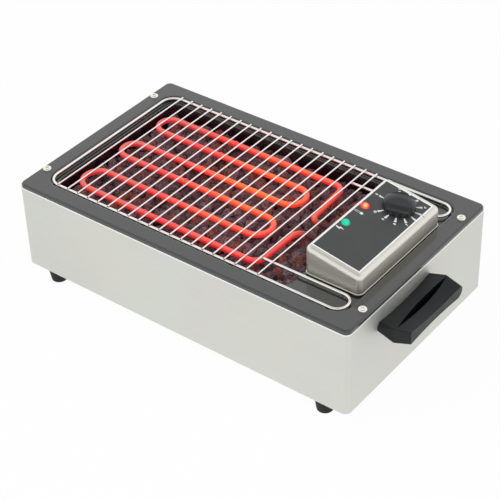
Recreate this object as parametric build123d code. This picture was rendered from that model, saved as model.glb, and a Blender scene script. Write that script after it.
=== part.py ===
from build123d import *
import math
import os
import random

# Lava rock grill: a steel casing on four feet carries an enamelled pan.
# The pan holds a bed of lava rocks, a heating element above it, a chrome
# cooking grate that lifts off, and a control box on the right-hand shelf.
# Sizes and places are given from the middle of the casing, on the floor: X to
# the right, Y to the back, Z up, in millimetres. The finished pieces are moved
# so that the origin lies under the middle of the whole part.

# Casing
casing_length = 540.0
casing_depth = 320.0
casing_height = 127.5
casing_wall = 1.2
casing_corner_radius = 9.5
casing_edge_radius = 0.5
top_lip_width = 18.0
bottom_flange_width = 28.0
base_plate_thickness = 1.2
sheet_gap = 0.3

# Feet
foot_height = 20.0
foot_top_radius = 14.0
foot_bottom_radius = 11.0
foot_end_inset = 43.0
foot_edge_inset = 0.5
foot_edge_radius = 1.0
foot_recess_depth = 9.0
foot_recess_gap = 0.7
foot_screw_radius = 2.5
foot_screw_head_radius = 4.5
foot_screw_head_height = 3.0
foot_nut_flats = 8.0
foot_nut_height = 4.0
foot_screw_tail = 1.0

# Enamelled pan
pan_wall = 1.5
rim_rise = 5.5
rim_inset = 0.8
rim_edge_radius = 3.0
rim_width = 25.5
rim_left_width = 24.5
rim_right_width = 27.0
ledge_width = 9.5
ledge_left_width = 10.5
shelf_length = 89.5
recess_drop = 5.5
recess_left_radius = 23.0
recess_right_radius = 20.0
recess_edge_radius = 3.0
well_edge_radius = 2.0
well_drop = 57.5
well_corner_radius = 16.0
well_floor_radius = 6.0
plinth_height = 2.5
plinth_margin = 5.5
plinth_edge_radius = 1.0
pip_height = 2.2
pip_radius = 2.4

# Screws through the rim and the brackets they bite into
pan_screw_end_inset = 11.0
pan_screw_side_inset = 21.0
pan_screw_radius = 2.0
pan_screw_head_radius = 5.9
pan_screw_head_height = 3.6
pan_screw_tail = 1.5
bracket_width = 8.0
bracket_length = 18.0

# Cooking grate
frame_wire_radius = 2.0
frame_wall_gap = 3.5
frame_right_gap = 4.5
loop_width = 31.0
loop_trim = 0.1
loop_tail_inset = 58.5
bar_radius = 1.25
bar_count = 20
first_bar_inset = 21.0
last_bar_inset = 37.8
bar_overhang = 2.0
weld_depth = 0.2
rest_gap = 0.3

# Lava rocks
rock_pitch_x = 26.0
rock_pitch_y = 19.5
rock_gap = 0.8
rock_base_pitch = 34.0
rock_base_height = 20.0
rock_height = 22.5
rock_rise = 8.0
rock_wall_gap = 3.5

# Heating element
element_radius = 4.0
element_drop = 7.5
run_shares = (0.788, 0.512, 0.18, -0.108, -0.456, -0.804)
leg_shares = (0.112, -0.128)
hairpin_left_insets = (15.0, 12.0, 15.0)
turn_right_insets = (94.5, 91.5)
end_bar_right_insets = (68.0, 62.5, 61.5, 64.0)
element_bend_radius = 14.0
hairpin_trim = 0.1
cold_end_length = 18.5
pin_radius = 1.5
pin_length = 10.0
bush_radius = 4.8
bush_flange_radius = 6.5
bush_flange_thickness = 2.0
bush_length = 12.0
ring_width = 1.0
ring_thickness = 1.5
strap_left_inset = 137.0
strap_width = 3.0
strap_height = 4.5
strap_tab_width = 10.0
strap_tab_thickness = 1.5
strap_tab_height = 14.0
clip_width = 2.4
clip_wall = 0.8

# Control box
box_well_gap = 3.0
box_end_gap = 2.5
box_loop_gap = 8.5
box_wall = 1.0
box_flange = 0.8
box_mid_rise = 34.5
panel_tilt = 10.0
box_corner_radius = 8.0
box_edge_radius = 6.5
box_tab_length = 17.0
box_tab_width = 12.0
box_tab_thickness = 1.5
box_screw_inset = 12.0
box_screw_side_inset = 12.5
box_screw_radius = 2.0
box_screw_head_radius = 3.5
box_screw_head_height = 2.2
box_screw_length = 7.0
lead_hole_radius = 9.0

# Label, lamps and dial on the sloping panel
label_left_inset = 7.0
label_right_inset = 8.5
label_side_inset = 9.5
label_corner_radius = 1.0
label_thickness = 0.5
lamp_inset = 6.7
red_lamp_y = 22.2
green_lamp_y = -21.1
lamp_lens_radius = 6.4
lamp_dome_height = 4.0
lamp_body_radius = 5.0
lamp_body_length = 18.0
solder_tag_thickness = 0.8
solder_tag_width = 2.8
solder_tag_length = 6.0
solder_tag_offset = 2.5
dial_inset = 29.5
dial_side_inset = 30.5

# Thermostat and knob
thermostat_width = 34.0
thermostat_height = 24.0
thermostat_corner_radius = 2.0
neck_radius = 5.0
neck_rise = 5.0
shaft_radius = 3.0
shaft_below = 14.0
shaft_above = 13.0
shaft_end_gap = 0.5
thermostat_nut_flats = 14.0
thermostat_nut_height = 3.0
knob_bottom_radius = 21.6
knob_top_radius = 20.4
knob_height = 14.8
knob_gap = 2.0
knob_dome_radius = 30.0
knob_bar_half_width = 2.8
knob_scoop_radius = 14.0
knob_skirt_height = 4.5
knob_hollow_radius = 9.2
knob_hollow_depth = 4.8
knob_angle = 24.0
running_clearance = 0.05
hole_clearance = 0.2

# Sensor of the thermostat
bulb_radius = 2.0
bulb_length = 70.0
bulb_drop = 22.5
capillary_radius = 0.8
capillary_bend = 8.0
capillary_tail = 14.0
bulb_clip_width = 12.0
bulb_clip_wall = 0.8
bulb_clip_ear = 6.0

# Mains side
block_length = 40.0
block_width = 22.0
block_height = 18.0
block_end_inset = 65.0
block_back_inset = 55.0
block_corner_radius = 1.5
block_screw_radius = 1.5
block_screw_head_radius = 3.0
block_screw_head_height = 1.8
block_screw_sink = 3.0
wire_pocket_count = 4
wire_pocket_radius = 2.0
wire_pocket_depth = 8.0
wire_pocket_offset = 6.0
gland_end_inset = 55.0
gland_z = 62.0
gland_bore_radius = 4.2
gland_thread_radius = 8.0
gland_head_radius = 12.0
gland_head_length = 14.0
gland_head_round = 3.0
gland_flange_length = 4.0
gland_thread_length = 10.0
gland_nut_flats = 22.0
gland_nut_thickness = 4.0

# Heat shield under the well
shield_gap = 12.0
shield_thickness = 0.8
shield_side_margin = 16.0
shield_margin = 12.0
shield_foot = 14.0

# Side handle: three sections, at the wall, at the crest and at the outer face. Each
# gives its front, back, front bottom, back bottom, front top and back top, then the
# rounds of its front top, back top, back bottom and front bottom corners.
handle_reach = 46.0
handle_crest_out = 23.0
handle_wall_section = (-96.7, 22.4, 92.0, 92.0, 105.5, 108.1)
handle_wall_rounds = (7.0, 1.0, 1.0, 4.0)
handle_wall_dip = 4.0
handle_crest_section = (-95.8, 24.2, 85.5, 84.0, 107.6, 115.3)
handle_crest_rounds = (1.0, 2.5, 4.0, 1.0)
handle_crest_dip = 0.4
handle_outer_section = (-92.8, 25.7, 92.3, 91.8, 111.5, 107.8)
handle_outer_rounds = (1.0, 5.0, 10.0, 1.0)
handle_outer_dip = 2.5
handle_slight_arch = 0.4
handle_outer_arch = 3.0
groove_out = 25.3
groove_length = 112.0
groove_width = 9.0
groove_depth = 15.0
handle_screw_radius = 2.5
handle_screw_head_radius = 4.5
handle_screw_head_height = 3.0
handle_screw_length = 13.0
handle_screw_inset = 30.0

# Levels and edges that follow from the sizes above
casing_bottom = foot_height
casing_top = casing_bottom + casing_height
rim_top = casing_top + rim_rise
ledge_z = rim_top - recess_drop
well_floor_z = ledge_z - well_drop
base_plate_bottom = casing_bottom + casing_wall
base_plate_top = base_plate_bottom + base_plate_thickness
casing_half_length = casing_length / 2
casing_half_depth = casing_depth / 2
origin_x = handle_reach / 2
origin_y = gland_head_length / 2
foot_x = casing_half_length - foot_end_inset
foot_y = casing_half_depth - foot_edge_inset - foot_top_radius
recess_left = rim_left_width - casing_half_length
recess_right = casing_half_length - rim_right_width
recess_half_depth = casing_half_depth - rim_width
well_left = recess_left + ledge_left_width
well_right = recess_right - shelf_length
well_half_depth = recess_half_depth - ledge_width
pan_screw_x = casing_half_length - pan_screw_end_inset
pan_screw_y = recess_half_depth - pan_screw_side_inset
frame_half_depth = recess_half_depth - frame_wall_gap
frame_left = recess_left + frame_wall_gap
frame_right = recess_right - frame_right_gap
frame_corner_radius = recess_left_radius - frame_wall_gap
loop_inner_y = frame_half_depth - loop_width
loop_tail_x = well_right - loop_tail_inset
first_bar_x = frame_left + first_bar_inset
bar_pitch = (well_right - last_bar_inset - first_bar_x) / (bar_count - 1)
bar_half_length = frame_half_depth + bar_overhang
run_ys = tuple(share * well_half_depth for share in run_shares)
leg_ys = tuple(share * well_half_depth for share in leg_shares)
hairpin_lefts = tuple(well_left + inset for inset in hairpin_left_insets)
turn_rights = tuple(well_right - inset for inset in turn_right_insets)
end_bar_rights = tuple(well_right - inset for inset in end_bar_right_insets)
element_end_x = well_right + cold_end_length
strap_x = well_left + strap_left_inset
box_left = well_right + box_well_gap
box_right = recess_right - box_end_gap
box_half_width = loop_inner_y - box_loop_gap
box_screw_y = box_half_width - box_screw_side_inset
label_left = box_left + label_left_inset
label_right = box_right - label_right_inset
label_half_width = box_half_width - label_side_inset
lamp_x = label_left + lamp_inset
dial_x = label_right - dial_inset
dial_y = label_half_width - dial_side_inset
block_x = casing_half_length - block_end_inset
block_y = casing_half_depth - block_back_inset
gland_x = casing_half_length - gland_end_inset
shield_half_depth = well_half_depth - shield_side_margin
frame_z = ledge_z + pip_height + rest_gap + frame_wire_radius
bar_z = frame_z + frame_wire_radius + bar_radius - weld_depth
element_z = ledge_z - element_drop
strap_top = element_z - element_radius
strap_bottom = strap_top - strap_height
plinth_top = ledge_z + plinth_height
box_floor_top = plinth_top + box_wall
box_mid_x = (box_left + box_right) / 2
panel_slope = math.tan(math.radians(panel_tilt))
bulb_z = element_z - bulb_drop

BOTTOM = (Align.CENTER, Align.CENTER, Align.MIN)


def panel_z(x):
    """Height of the sloping top of the control box at a place along X."""
    return box_floor_top + box_mid_rise - panel_slope * (x - box_mid_x)


def panel_plane(x, y):
    """Plane on the sloping top, with its local Z square to the top."""
    tilt = math.radians(panel_tilt)
    return Plane(origin=(x, y, panel_z(x)),
                 x_dir=(math.cos(tilt), 0, -math.sin(tilt)),
                 z_dir=(math.sin(tilt), 0, math.cos(tilt)))


def rounded_outline(left, right, half_depth, left_radius, right_radius):
    """Rectangle with its own corner radius at each end."""
    outline = Pos((left + right) / 2, 0) * Rectangle(right - left, 2 * half_depth)
    outline = fillet(outline.vertices().group_by(Axis.X)[0], left_radius)
    return fillet(outline.vertices().group_by(Axis.X)[-1], right_radius)


def block(left, right, half_depth, bottom, top, left_radius, right_radius=None):
    """Upright block with rounded vertical edges."""
    if right_radius is None:
        right_radius = left_radius
    outline = rounded_outline(left, right, half_depth, left_radius, right_radius)
    return Pos(0, 0, bottom) * extrude(outline, top - bottom)


def round_level(shape, level, radius):
    """Round every edge of a shape that lies flat at one height."""
    edges = shape.edges().filter_by_position(Axis.Z, level - 0.01, level + 0.01)
    return fillet(edges, radius)


def post(x, y, bottom, top, radius):
    """Upright round bar, also used as a drill."""
    return Pos(x, y, bottom) * Cylinder(radius, top - bottom, align=BOTTOM)


def hexagon(flats, height):
    """Hexagonal prism measured across its flats, standing on the origin."""
    return extrude(RegularPolygon(flats / 2, 6, major_radius=False), height)


def pan_head_screw(radius, length, head_radius, head_height):
    """Cross-recessed screw: its head stands on the origin, its shank points down."""
    head = Cylinder(head_radius, head_height, align=BOTTOM)
    head = fillet(head.edges().group_by(Axis.Z)[-1], head_height * 0.55)
    slot = Pos(0, 0, head_height) * Box(head_radius, head_radius * 0.22, head_height)
    head = head - slot - Rot(0, 0, 90) * slot
    shank = Cylinder(radius, length, align=(Align.CENTER, Align.CENTER, Align.MAX))
    return head + shank


def tube(points, bend, radius):
    """Round bar bent along a row of points."""
    path = FilletPolyline(*points, radius=bend)
    return sweep(Plane(origin=path @ 0, z_dir=path % 0) * Circle(radius), path=path)


def four_corners(x, y):
    """The four places that mirror each other about the middle."""
    return [(sx * x, sy * y) for sy in (-1, 1) for sx in (-1, 1)]


def write(node, *solids):
    """Write one node, moved so that the whole part stands over the origin."""
    pieces = []
    for solid in solids:
        pieces.extend((Pos(-origin_x, -origin_y) * solid).solids())
    shape = pieces[0] if len(pieces) == 1 else Compound(children=pieces)
    shape.label = node
    export_step(shape, f"parts/{node}.step")


def handle_screw_places():
    """Places of the handle screws along Y and their height."""
    front, back, bottom, _, top, _ = handle_wall_section
    height = casing_bottom + (top - handle_wall_dip / 2 + bottom) / 2
    return [(front + handle_screw_inset, height), (back - handle_screw_inset, height)]


def casing_shell():
    """Wrapped sheet with a lip at the top and a flange at the bottom."""
    outer = block(-casing_half_length, casing_half_length, casing_half_depth,
                  casing_bottom, casing_top, casing_corner_radius)
    outer = round_level(outer, casing_top, casing_edge_radius)
    inner = block(casing_wall - casing_half_length, casing_half_length - casing_wall,
                  casing_half_depth - casing_wall, base_plate_bottom,
                  casing_top - casing_wall, casing_corner_radius - casing_wall)
    mouth = block(top_lip_width - casing_half_length, casing_half_length - top_lip_width,
                  casing_half_depth - top_lip_width, casing_top - 2 * casing_wall,
                  casing_top + casing_wall, casing_corner_radius)
    floor = block(bottom_flange_width - casing_half_length,
                  casing_half_length - bottom_flange_width,
                  casing_half_depth - bottom_flange_width,
                  casing_bottom - casing_wall, base_plate_bottom + casing_wall,
                  casing_corner_radius)
    shell = outer - inner - mouth - floor
    for x, y in four_corners(foot_x, foot_y):
        shell -= post(x, y, 0, base_plate_top, foot_screw_radius + hole_clearance)
    for x, y in four_corners(pan_screw_x, pan_screw_y):
        shell -= post(x, y, casing_top - 2 * casing_wall, casing_top + 1,
                      pan_screw_radius + running_clearance)
    for y, z in handle_screw_places():
        hole = Cylinder(handle_screw_radius + hole_clearance, 4 * casing_wall)
        shell -= Pos(casing_half_length, y, z) * Rot(0, 90, 0) * hole
    gland_hole = Cylinder(gland_thread_radius + hole_clearance, 4 * casing_wall)
    return shell - Pos(gland_x, casing_half_depth, gland_z) * Rot(90, 0, 0) * gland_hole


def base_plate():
    """Floor sheet that lies on the casing's bottom flange."""
    inset = casing_wall + sheet_gap
    plate = block(inset - casing_half_length, casing_half_length - inset,
                  casing_half_depth - inset, base_plate_bottom, base_plate_top,
                  casing_corner_radius - casing_wall)
    for x, y in four_corners(foot_x, foot_y):
        plate -= post(x, y, 0, base_plate_top + 1, foot_screw_radius + hole_clearance)
    for x, y in block_screw_places():
        plate -= post(x, y, 0, base_plate_top + 1, block_screw_radius + running_clearance)
    return plate


def foot(x, y):
    """Tapered rubber foot with a recess for its screw."""
    body = Pos(x, y) * Cone(foot_bottom_radius, foot_top_radius, foot_height, align=BOTTOM)
    body = fillet(body.edges().group_by(Axis.Z)[0], foot_edge_radius)
    body -= post(x, y, -1, foot_recess_depth, foot_screw_head_radius + foot_recess_gap)
    return body - post(x, y, -1, foot_height + 1, foot_screw_radius + running_clearance)


def foot_screw(x, y):
    """Screw that holds a foot, the casing and the base plate together."""
    length = base_plate_top + foot_nut_height + foot_screw_tail - foot_recess_depth
    screw = pan_head_screw(foot_screw_radius, length, foot_screw_head_radius,
                           foot_screw_head_height)
    return Pos(x, y, foot_recess_depth) * Rot(180, 0, 0) * screw


def foot_nut(x, y):
    """Nut on the base plate over a foot."""
    nut = hexagon(foot_nut_flats, foot_nut_height)
    nut -= Cylinder(foot_screw_radius + running_clearance, 3 * foot_nut_height)
    return Pos(x, y, base_plate_top) * nut


def pan_pip_places():
    """Places along the grate's wire where a pressed pip carries it."""
    far = frame_right - frame_corner_radius
    third = (far - first_bar_x) / 3
    places = [(first_bar_x + step * third, side * frame_half_depth)
              for step in range(4) for side in (-1, 1)]
    places += [(frame_left, side * frame_half_depth / 2) for side in (-1, 1)]
    return places + [(far, side * loop_inner_y) for side in (-1, 1)]


def enamel_pan():
    """Pressed pan: raised rim, shallow recess with a ledge, deep well."""
    half_length = casing_half_length - rim_inset
    half_depth = casing_half_depth - rim_inset
    corner = casing_corner_radius - rim_inset
    rim = block(-half_length, half_length, half_depth, casing_top, rim_top, corner)
    rim = round_level(rim, rim_top, rim_edge_radius)
    recess = block(recess_left - pan_wall, recess_right + pan_wall,
                   recess_half_depth + pan_wall, ledge_z - pan_wall, rim_top,
                   recess_left_radius + pan_wall, recess_right_radius + pan_wall)
    well = block(well_left - pan_wall, well_right + pan_wall,
                 well_half_depth + pan_wall, well_floor_z - pan_wall, ledge_z,
                 well_corner_radius + pan_wall)
    well = round_level(well, well_floor_z - pan_wall, well_floor_radius + pan_wall)
    hollow = block(pan_wall - half_length, half_length - pan_wall, half_depth - pan_wall,
                   casing_top - 1, rim_top - pan_wall, corner - pan_wall)
    hollow = round_level(hollow, rim_top - pan_wall, rim_edge_radius - pan_wall)
    pan = rim - (hollow - recess - well) + recess + well
    recess_room = block(recess_left, recess_right, recess_half_depth, ledge_z, rim_top + 1,
                        recess_left_radius, recess_right_radius)
    recess_room -= plinth_block(0, plinth_top, ledge_z - 1)
    well_room = block(well_left, well_right, well_half_depth, well_floor_z, rim_top,
                      well_corner_radius)
    well_room = round_level(well_room, well_floor_z, well_floor_radius)
    pan = pan - recess_room - well_room
    pan -= plinth_block(pan_wall, plinth_top - pan_wall, ledge_z - 2 * pan_wall)
    pan = fillet(recess_edges(pan), recess_edge_radius)
    pan = fillet(well_edges(pan), well_edge_radius)
    for x, y in pan_pip_places():
        pip = Cone(pip_radius, pip_radius / 2, pip_height, align=BOTTOM)
        pan += Pos(x, y, ledge_z) * pip
    for x, y in four_corners(pan_screw_x, pan_screw_y):
        pan -= post(x, y, casing_top, rim_top + 1, pan_screw_radius + hole_clearance)
    for y in leg_ys:
        hole = Cylinder(bush_radius + hole_clearance, 6 * pan_wall)
        pan -= Pos(well_right, y, element_z) * Rot(0, 90, 0) * hole
    for x, y in box_screw_places():
        pan -= post(x, y, ledge_z, rim_top, box_screw_radius + hole_clearance)
    hole_x, hole_y = lead_hole_place()
    return pan - post(hole_x, hole_y, ledge_z, rim_top, lead_hole_radius)


def plinth_block(inset, top, bottom):
    """Raised stand on the shelf that carries the control box."""
    margin = plinth_margin + inset
    shape = block(box_left + margin, box_right - margin, box_half_width - margin,
                  bottom, top, box_corner_radius)
    return round_level(shape, top, plinth_edge_radius)


def recess_edges(pan):
    """Upper edges of the recess wall, which the enamel rounds over."""
    edges = pan.edges().filter_by_position(Axis.Z, rim_top - 0.01, rim_top + 0.01)
    reach = casing_half_length - rim_inset - rim_edge_radius - 1
    edges = edges.filter_by_position(Axis.X, -reach, reach)
    return edges.filter_by_position(Axis.Y, -recess_half_depth - 1, recess_half_depth + 1)


def well_edges(pan):
    """Upper edges of the well, where the enamel rounds down from the ledge."""
    edges = pan.edges().filter_by_position(Axis.Z, ledge_z - 0.01, ledge_z + 0.01)
    edges = edges.filter_by_position(Axis.X, well_left - 1, well_right + 1)
    return edges.filter_by_position(Axis.Y, -well_half_depth - 1, well_half_depth + 1)


def pan_bracket(x, y):
    """Threaded spacer on the casing lip under a rim screw."""
    side = 1 if x > 0 else -1
    inner = abs(x) - bracket_width / 2
    body = Box(bracket_width, bracket_length, rim_rise - pan_wall, align=BOTTOM)
    body = Pos(side * (inner + bracket_width / 2), y, casing_top) * body
    return body - post(x, y, casing_top - 1, rim_top, pan_screw_radius + running_clearance)


def pan_screw(x, y):
    """Screw through the rim, its spacer and the casing's lip."""
    screw = pan_head_screw(pan_screw_radius, rim_rise + casing_wall + pan_screw_tail,
                           pan_screw_head_radius, pan_screw_head_height)
    return Pos(x, y, rim_top) * screw


def grate_frame():
    """One bent wire: three sides of the grate and two loops beside the box."""
    outer = frame_half_depth
    points = [(loop_tail_x, loop_inner_y, frame_z), (frame_right, loop_inner_y, frame_z),
              (frame_right, outer, frame_z), (frame_left, outer, frame_z),
              (frame_left, -outer, frame_z), (frame_right, -outer, frame_z),
              (frame_right, -loop_inner_y, frame_z), (loop_tail_x, -loop_inner_y, frame_z)]
    loop = (outer - loop_inner_y) / 2 - loop_trim
    radii = [loop, loop, frame_corner_radius, frame_corner_radius, loop, loop]
    return tube(points, radii, frame_wire_radius)


def grate_bars():
    """Straight bars across the frame."""
    bars = []
    for index in range(bar_count):
        bar = Rot(90, 0, 0) * Cylinder(bar_radius, 2 * bar_half_length)
        bars.append(Pos(first_bar_x + index * bar_pitch, 0, bar_z) * bar)
    return bars


def element_points():
    """Corners of the element's winding path, from one terminal to the other."""
    first, second, third, fourth, fifth, sixth = run_ys
    upper_leg, lower_leg = leg_ys
    rear_left, middle_left, front_left = hairpin_lefts
    rear_turn, front_turn = turn_rights
    rear_bar, rear_elbow, front_elbow, front_bar = end_bar_rights
    corners = [(element_end_x, upper_leg), (rear_elbow, upper_leg), (rear_bar, first),
               (rear_left, first), (rear_left, second), (rear_turn, second),
               (rear_turn, third), (middle_left, third), (middle_left, fourth),
               (front_turn, fourth), (front_turn, fifth), (front_left, fifth),
               (front_left, sixth), (front_bar, sixth), (front_elbow, lower_leg),
               (element_end_x, lower_leg)]
    return [(x, y, element_z) for x, y in corners]


def element_bends():
    """Bend radius at each corner; the hairpins are full half circles."""
    first, second, third, fourth, fifth, sixth = run_ys
    bends = [element_bend_radius] * 2
    for upper, lower in ((first, second), (second, third), (third, fourth),
                         (fourth, fifth), (fifth, sixth)):
        bends += [(upper - lower) / 2 - hairpin_trim] * 2
    return bends + [element_bend_radius] * 2


def heating_element():
    """Sheathed tube bent flat, with a pin at each cold end."""
    element = tube(element_points(), element_bends(), element_radius)
    for y in leg_ys:
        pin = Rot(0, 90, 0) * Cylinder(pin_radius, pin_length, align=BOTTOM)
        element += Pos(element_end_x, y, element_z) * pin
    return element


def element_strap():
    """Narrow upright bar under the runs, with a tab against each wall of the well."""
    half = well_half_depth
    strap = Box(strap_width, 2 * half, strap_height,
                align=(Align.CENTER, Align.CENTER, Align.MAX))
    for side in (-1, 1):
        tab = Box(strap_tab_width, strap_tab_thickness, strap_tab_height,
                  align=(Align.CENTER, Align.CENTER, Align.MAX))
        strap += Pos(0, side * (half - strap_tab_thickness / 2)) * tab
    return Pos(strap_x, 0, strap_top) * strap


def element_clip(y):
    """Staple over one run of the element, standing on the strap."""
    outer = element_radius + running_clearance + clip_wall
    inner = element_radius + running_clearance
    body = Rot(0, 90, 0) * Cylinder(outer, clip_width)
    body += Pos(0, 0, -element_radius / 2) * Box(clip_width, 2 * outer, element_radius)
    body -= Rot(0, 90, 0) * Cylinder(inner, clip_width + 1)
    body -= Pos(0, 0, -element_radius / 2) * Box(clip_width + 1, 2 * inner, element_radius)
    body -= Pos(0, 0, -1.5 * element_radius) * Box(clip_width + 1, 4 * outer, element_radius)
    return Pos(strap_x, y, element_z) * body


def element_bush(y):
    """Collar that carries one cold end through the wall of the well."""
    flange = Cylinder(bush_flange_radius, bush_flange_thickness,
                      align=(Align.CENTER, Align.CENTER, Align.MAX))
    stub = Cylinder(bush_radius, bush_length, align=BOTTOM)
    bush = flange + stub
    bush -= Cylinder(element_radius + running_clearance, 4 * bush_length)
    return Pos(well_right, y, element_z) * Rot(0, 90, 0) * bush


def element_ring(y):
    """Push-on ring that locks a collar behind the wall of the well."""
    ring = Cylinder(bush_radius + ring_width, ring_thickness, align=BOTTOM)
    ring -= Cylinder(bush_radius + running_clearance, 4 * ring_thickness)
    return Pos(well_right + pan_wall, y, element_z) * Rot(0, 90, 0) * ring


def distance_to_element(x, y):
    """Distance in plan from a place to the middle of the element's tube."""
    nearest = math.inf
    corners = element_points()
    for start, end in zip(corners, corners[1:]):
        span_x = end[0] - start[0]
        span_y = end[1] - start[1]
        share = ((x - start[0]) * span_x + (y - start[1]) * span_y)
        share = min(1.0, max(0.0, share / (span_x ** 2 + span_y ** 2)))
        gap = math.hypot(x - start[0] - share * span_x, y - start[1] - share * span_y)
        nearest = min(nearest, gap)
    return nearest


def rock(x, y, bottom, top, half_x, half_y, chance, flat_top=False):
    """Angular stone that fills one cell of the bed."""
    crown = (1.0, 0.94, 8) if flat_top else (1.0, 0.5, 6)
    rings = ((0.0, 0.86, 6), (0.45, 0.99, 8), crown)
    points = []
    for height, reach, count in rings:
        turn = chance.uniform(0, 2 * math.pi / count)
        for index in range(count):
            angle = turn + 2 * math.pi * (index + chance.uniform(-0.2, 0.2)) / count
            corner = math.cos(angle) ** 4 + math.sin(angle) ** 4
            stretch = reach * chance.uniform(0.88, 1.0) / corner ** 0.2
            level = height
            if height == 1.0 and not flat_top:
                level = chance.uniform(0.82, 1.0)
            points.append((x + half_x * stretch * math.cos(angle),
                           y + half_y * stretch * math.sin(angle),
                           bottom + (top - bottom) * level))
    return ConvexPolyhedron(points)


def rock_grid(pitch_x, pitch_y, margin):
    """Cells of the bed: middle of each cell and half its size."""
    left = well_left + margin
    width = well_right - margin - left
    half_depth = well_half_depth - margin
    columns = max(1, round(width / pitch_x))
    rows = max(1, round(2 * half_depth / pitch_y))
    step_x = width / columns
    step_y = 2 * half_depth / rows
    cells = []
    for column in range(columns):
        for row in range(rows):
            cells.append((left + (column + 0.5) * step_x,
                          (row + 0.5) * step_y - half_depth,
                          (step_x - rock_gap) / 2, (step_y - rock_gap) / 2))
    return cells


def lava_rocks():
    """Two layers of stones; the upper ones rise between the element's runs."""
    chance = random.Random(7)
    base_top = well_floor_z + rock_base_height
    stones = []
    for x, y, half_x, half_y in rock_grid(rock_base_pitch, rock_base_pitch,
                                          well_floor_radius + rock_gap):
        stones.append(rock(x, y, well_floor_z, base_top, half_x, half_y, chance, True))
    for x, y, half_x, half_y in rock_grid(rock_pitch_x, rock_pitch_y, rock_wall_gap):
        top = base_top + rock_height - chance.uniform(0, 3)
        reach = math.hypot(half_x, half_y)
        clear_of_element = distance_to_element(x, y) > element_radius + half_y + 1
        clear_of_strap = abs(x - strap_x) > strap_width / 2 + half_x + rock_gap
        if not clear_of_strap:
            top = min(top, strap_bottom - rock_gap)
        if clear_of_element and clear_of_strap and distance_to_element(x, y) < 2 * reach:
            top += chance.uniform(0.5, 1.0) * rock_rise
        stones.append(rock(x, y, base_top, top, half_x, half_y, chance))
    return stones


def box_screw_places():
    """Places of the screws that hold the control box down."""
    return [(x, side * box_screw_y) for side in (-1, 1)
            for x in (box_left + box_screw_inset, box_right - box_screw_inset)]


def lead_hole_place():
    """Place of the hole through which the leads and the sensor tube go down."""
    return dial_x, dial_y - thermostat_width / 2 - lead_hole_radius


def control_box_base():
    """Thin floor of the control box, a little larger than the box."""
    plate = block(box_left - box_flange, box_right + box_flange,
                  box_half_width + box_flange, plinth_top, box_floor_top,
                  box_corner_radius + box_flange)
    for x, y in box_screw_places():
        plate -= post(x, y, plinth_top - 1, box_floor_top + 1,
                      box_screw_radius + hole_clearance)
    hole_x, hole_y = lead_hole_place()
    return plate - post(hole_x, hole_y, plinth_top - 1, box_floor_top + 1, lead_hole_radius)


def wedge_body(inset, bottom):
    """Box with a sloping top and rounded edges, shrunk by an inset."""
    left = box_left + inset
    right = box_right - inset
    half = box_half_width - inset
    drop = inset / math.cos(math.radians(panel_tilt))
    outline = Polyline((left, bottom), (right, bottom), (right, panel_z(right) - drop),
                       (left, panel_z(left) - drop), close=True)
    side = Plane.XZ * make_face(outline)
    body = extrude(side, half, both=True)
    body = fillet(body.edges().filter_by(Axis.Z), box_corner_radius - inset)
    top = body.faces().sort_by(Axis.Z)[-1]
    return fillet(top.edges(), box_edge_radius - inset)


def control_box_cover():
    """Folded steel cover with a sloping panel."""
    cover = wedge_body(0, box_floor_top) - wedge_body(box_wall, box_floor_top - 10)
    for x, y in box_screw_places():
        side = 1 if y > 0 else -1
        tab = Box(box_tab_width, box_tab_length, box_tab_thickness,
                  align=(Align.CENTER, Align.CENTER, Align.MIN))
        tab_y = side * (box_half_width - box_wall / 2 - box_tab_length / 2)
        cover += Pos(x, tab_y, box_floor_top) * tab
        cover -= post(x, y, box_floor_top - 1, box_floor_top + 2 * box_tab_thickness,
                      box_screw_radius + running_clearance)
    for y in (red_lamp_y, green_lamp_y):
        drill = Cylinder(lamp_body_radius + hole_clearance, 6 * box_wall)
        cover -= panel_plane(lamp_x, y) * drill
    drill = Cylinder(neck_radius + hole_clearance, 6 * box_wall)
    return cover - panel_plane(dial_x, dial_y) * drill


def control_box_screw(x, y):
    """Screw from under the plinth into a tab of the cover."""
    screw = pan_head_screw(box_screw_radius, box_screw_length, box_screw_head_radius,
                           box_screw_head_height)
    return Pos(x, y, plinth_top - pan_wall) * Rot(180, 0, 0) * screw


def control_label():
    """Thin printed plate on the sloping panel."""
    middle = (label_left + label_right) / 2
    length = (label_right - label_left) / math.cos(math.radians(panel_tilt))
    plate = extrude(RectangleRounded(length, 2 * label_half_width, label_corner_radius),
                    label_thickness)
    plate = panel_plane(middle, 0) * plate
    for y in (red_lamp_y, green_lamp_y):
        drill = Cylinder(lamp_body_radius + hole_clearance, 6 * box_wall)
        plate -= panel_plane(lamp_x, y) * drill
    drill = Cylinder(neck_radius + hole_clearance, 6 * box_wall)
    return plate - panel_plane(dial_x, dial_y) * drill


def lamp_lens(y):
    """Domed lens on the label."""
    sphere_radius = (lamp_lens_radius ** 2 + lamp_dome_height ** 2) / (2 * lamp_dome_height)
    dome = Pos(0, 0, lamp_dome_height - sphere_radius) * Sphere(sphere_radius)
    keep = Cylinder(2 * lamp_lens_radius, 2 * lamp_dome_height, align=BOTTOM)
    return panel_plane(lamp_x, y) * Pos(0, 0, label_thickness) * (dome & keep)


def lamp_body(y):
    """Lamp holder that hangs through the panel, with two solder tags."""
    body = Cylinder(lamp_body_radius, lamp_body_length,
                    align=(Align.CENTER, Align.CENTER, Align.MAX))
    for side in (-1, 1):
        tag = Box(solder_tag_thickness, solder_tag_width, solder_tag_length,
                  align=(Align.CENTER, Align.CENTER, Align.MAX))
        body += Pos(side * solder_tag_offset, 0, -lamp_body_length) * tag
    return panel_plane(lamp_x, y) * Pos(0, 0, label_thickness) * body


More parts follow.
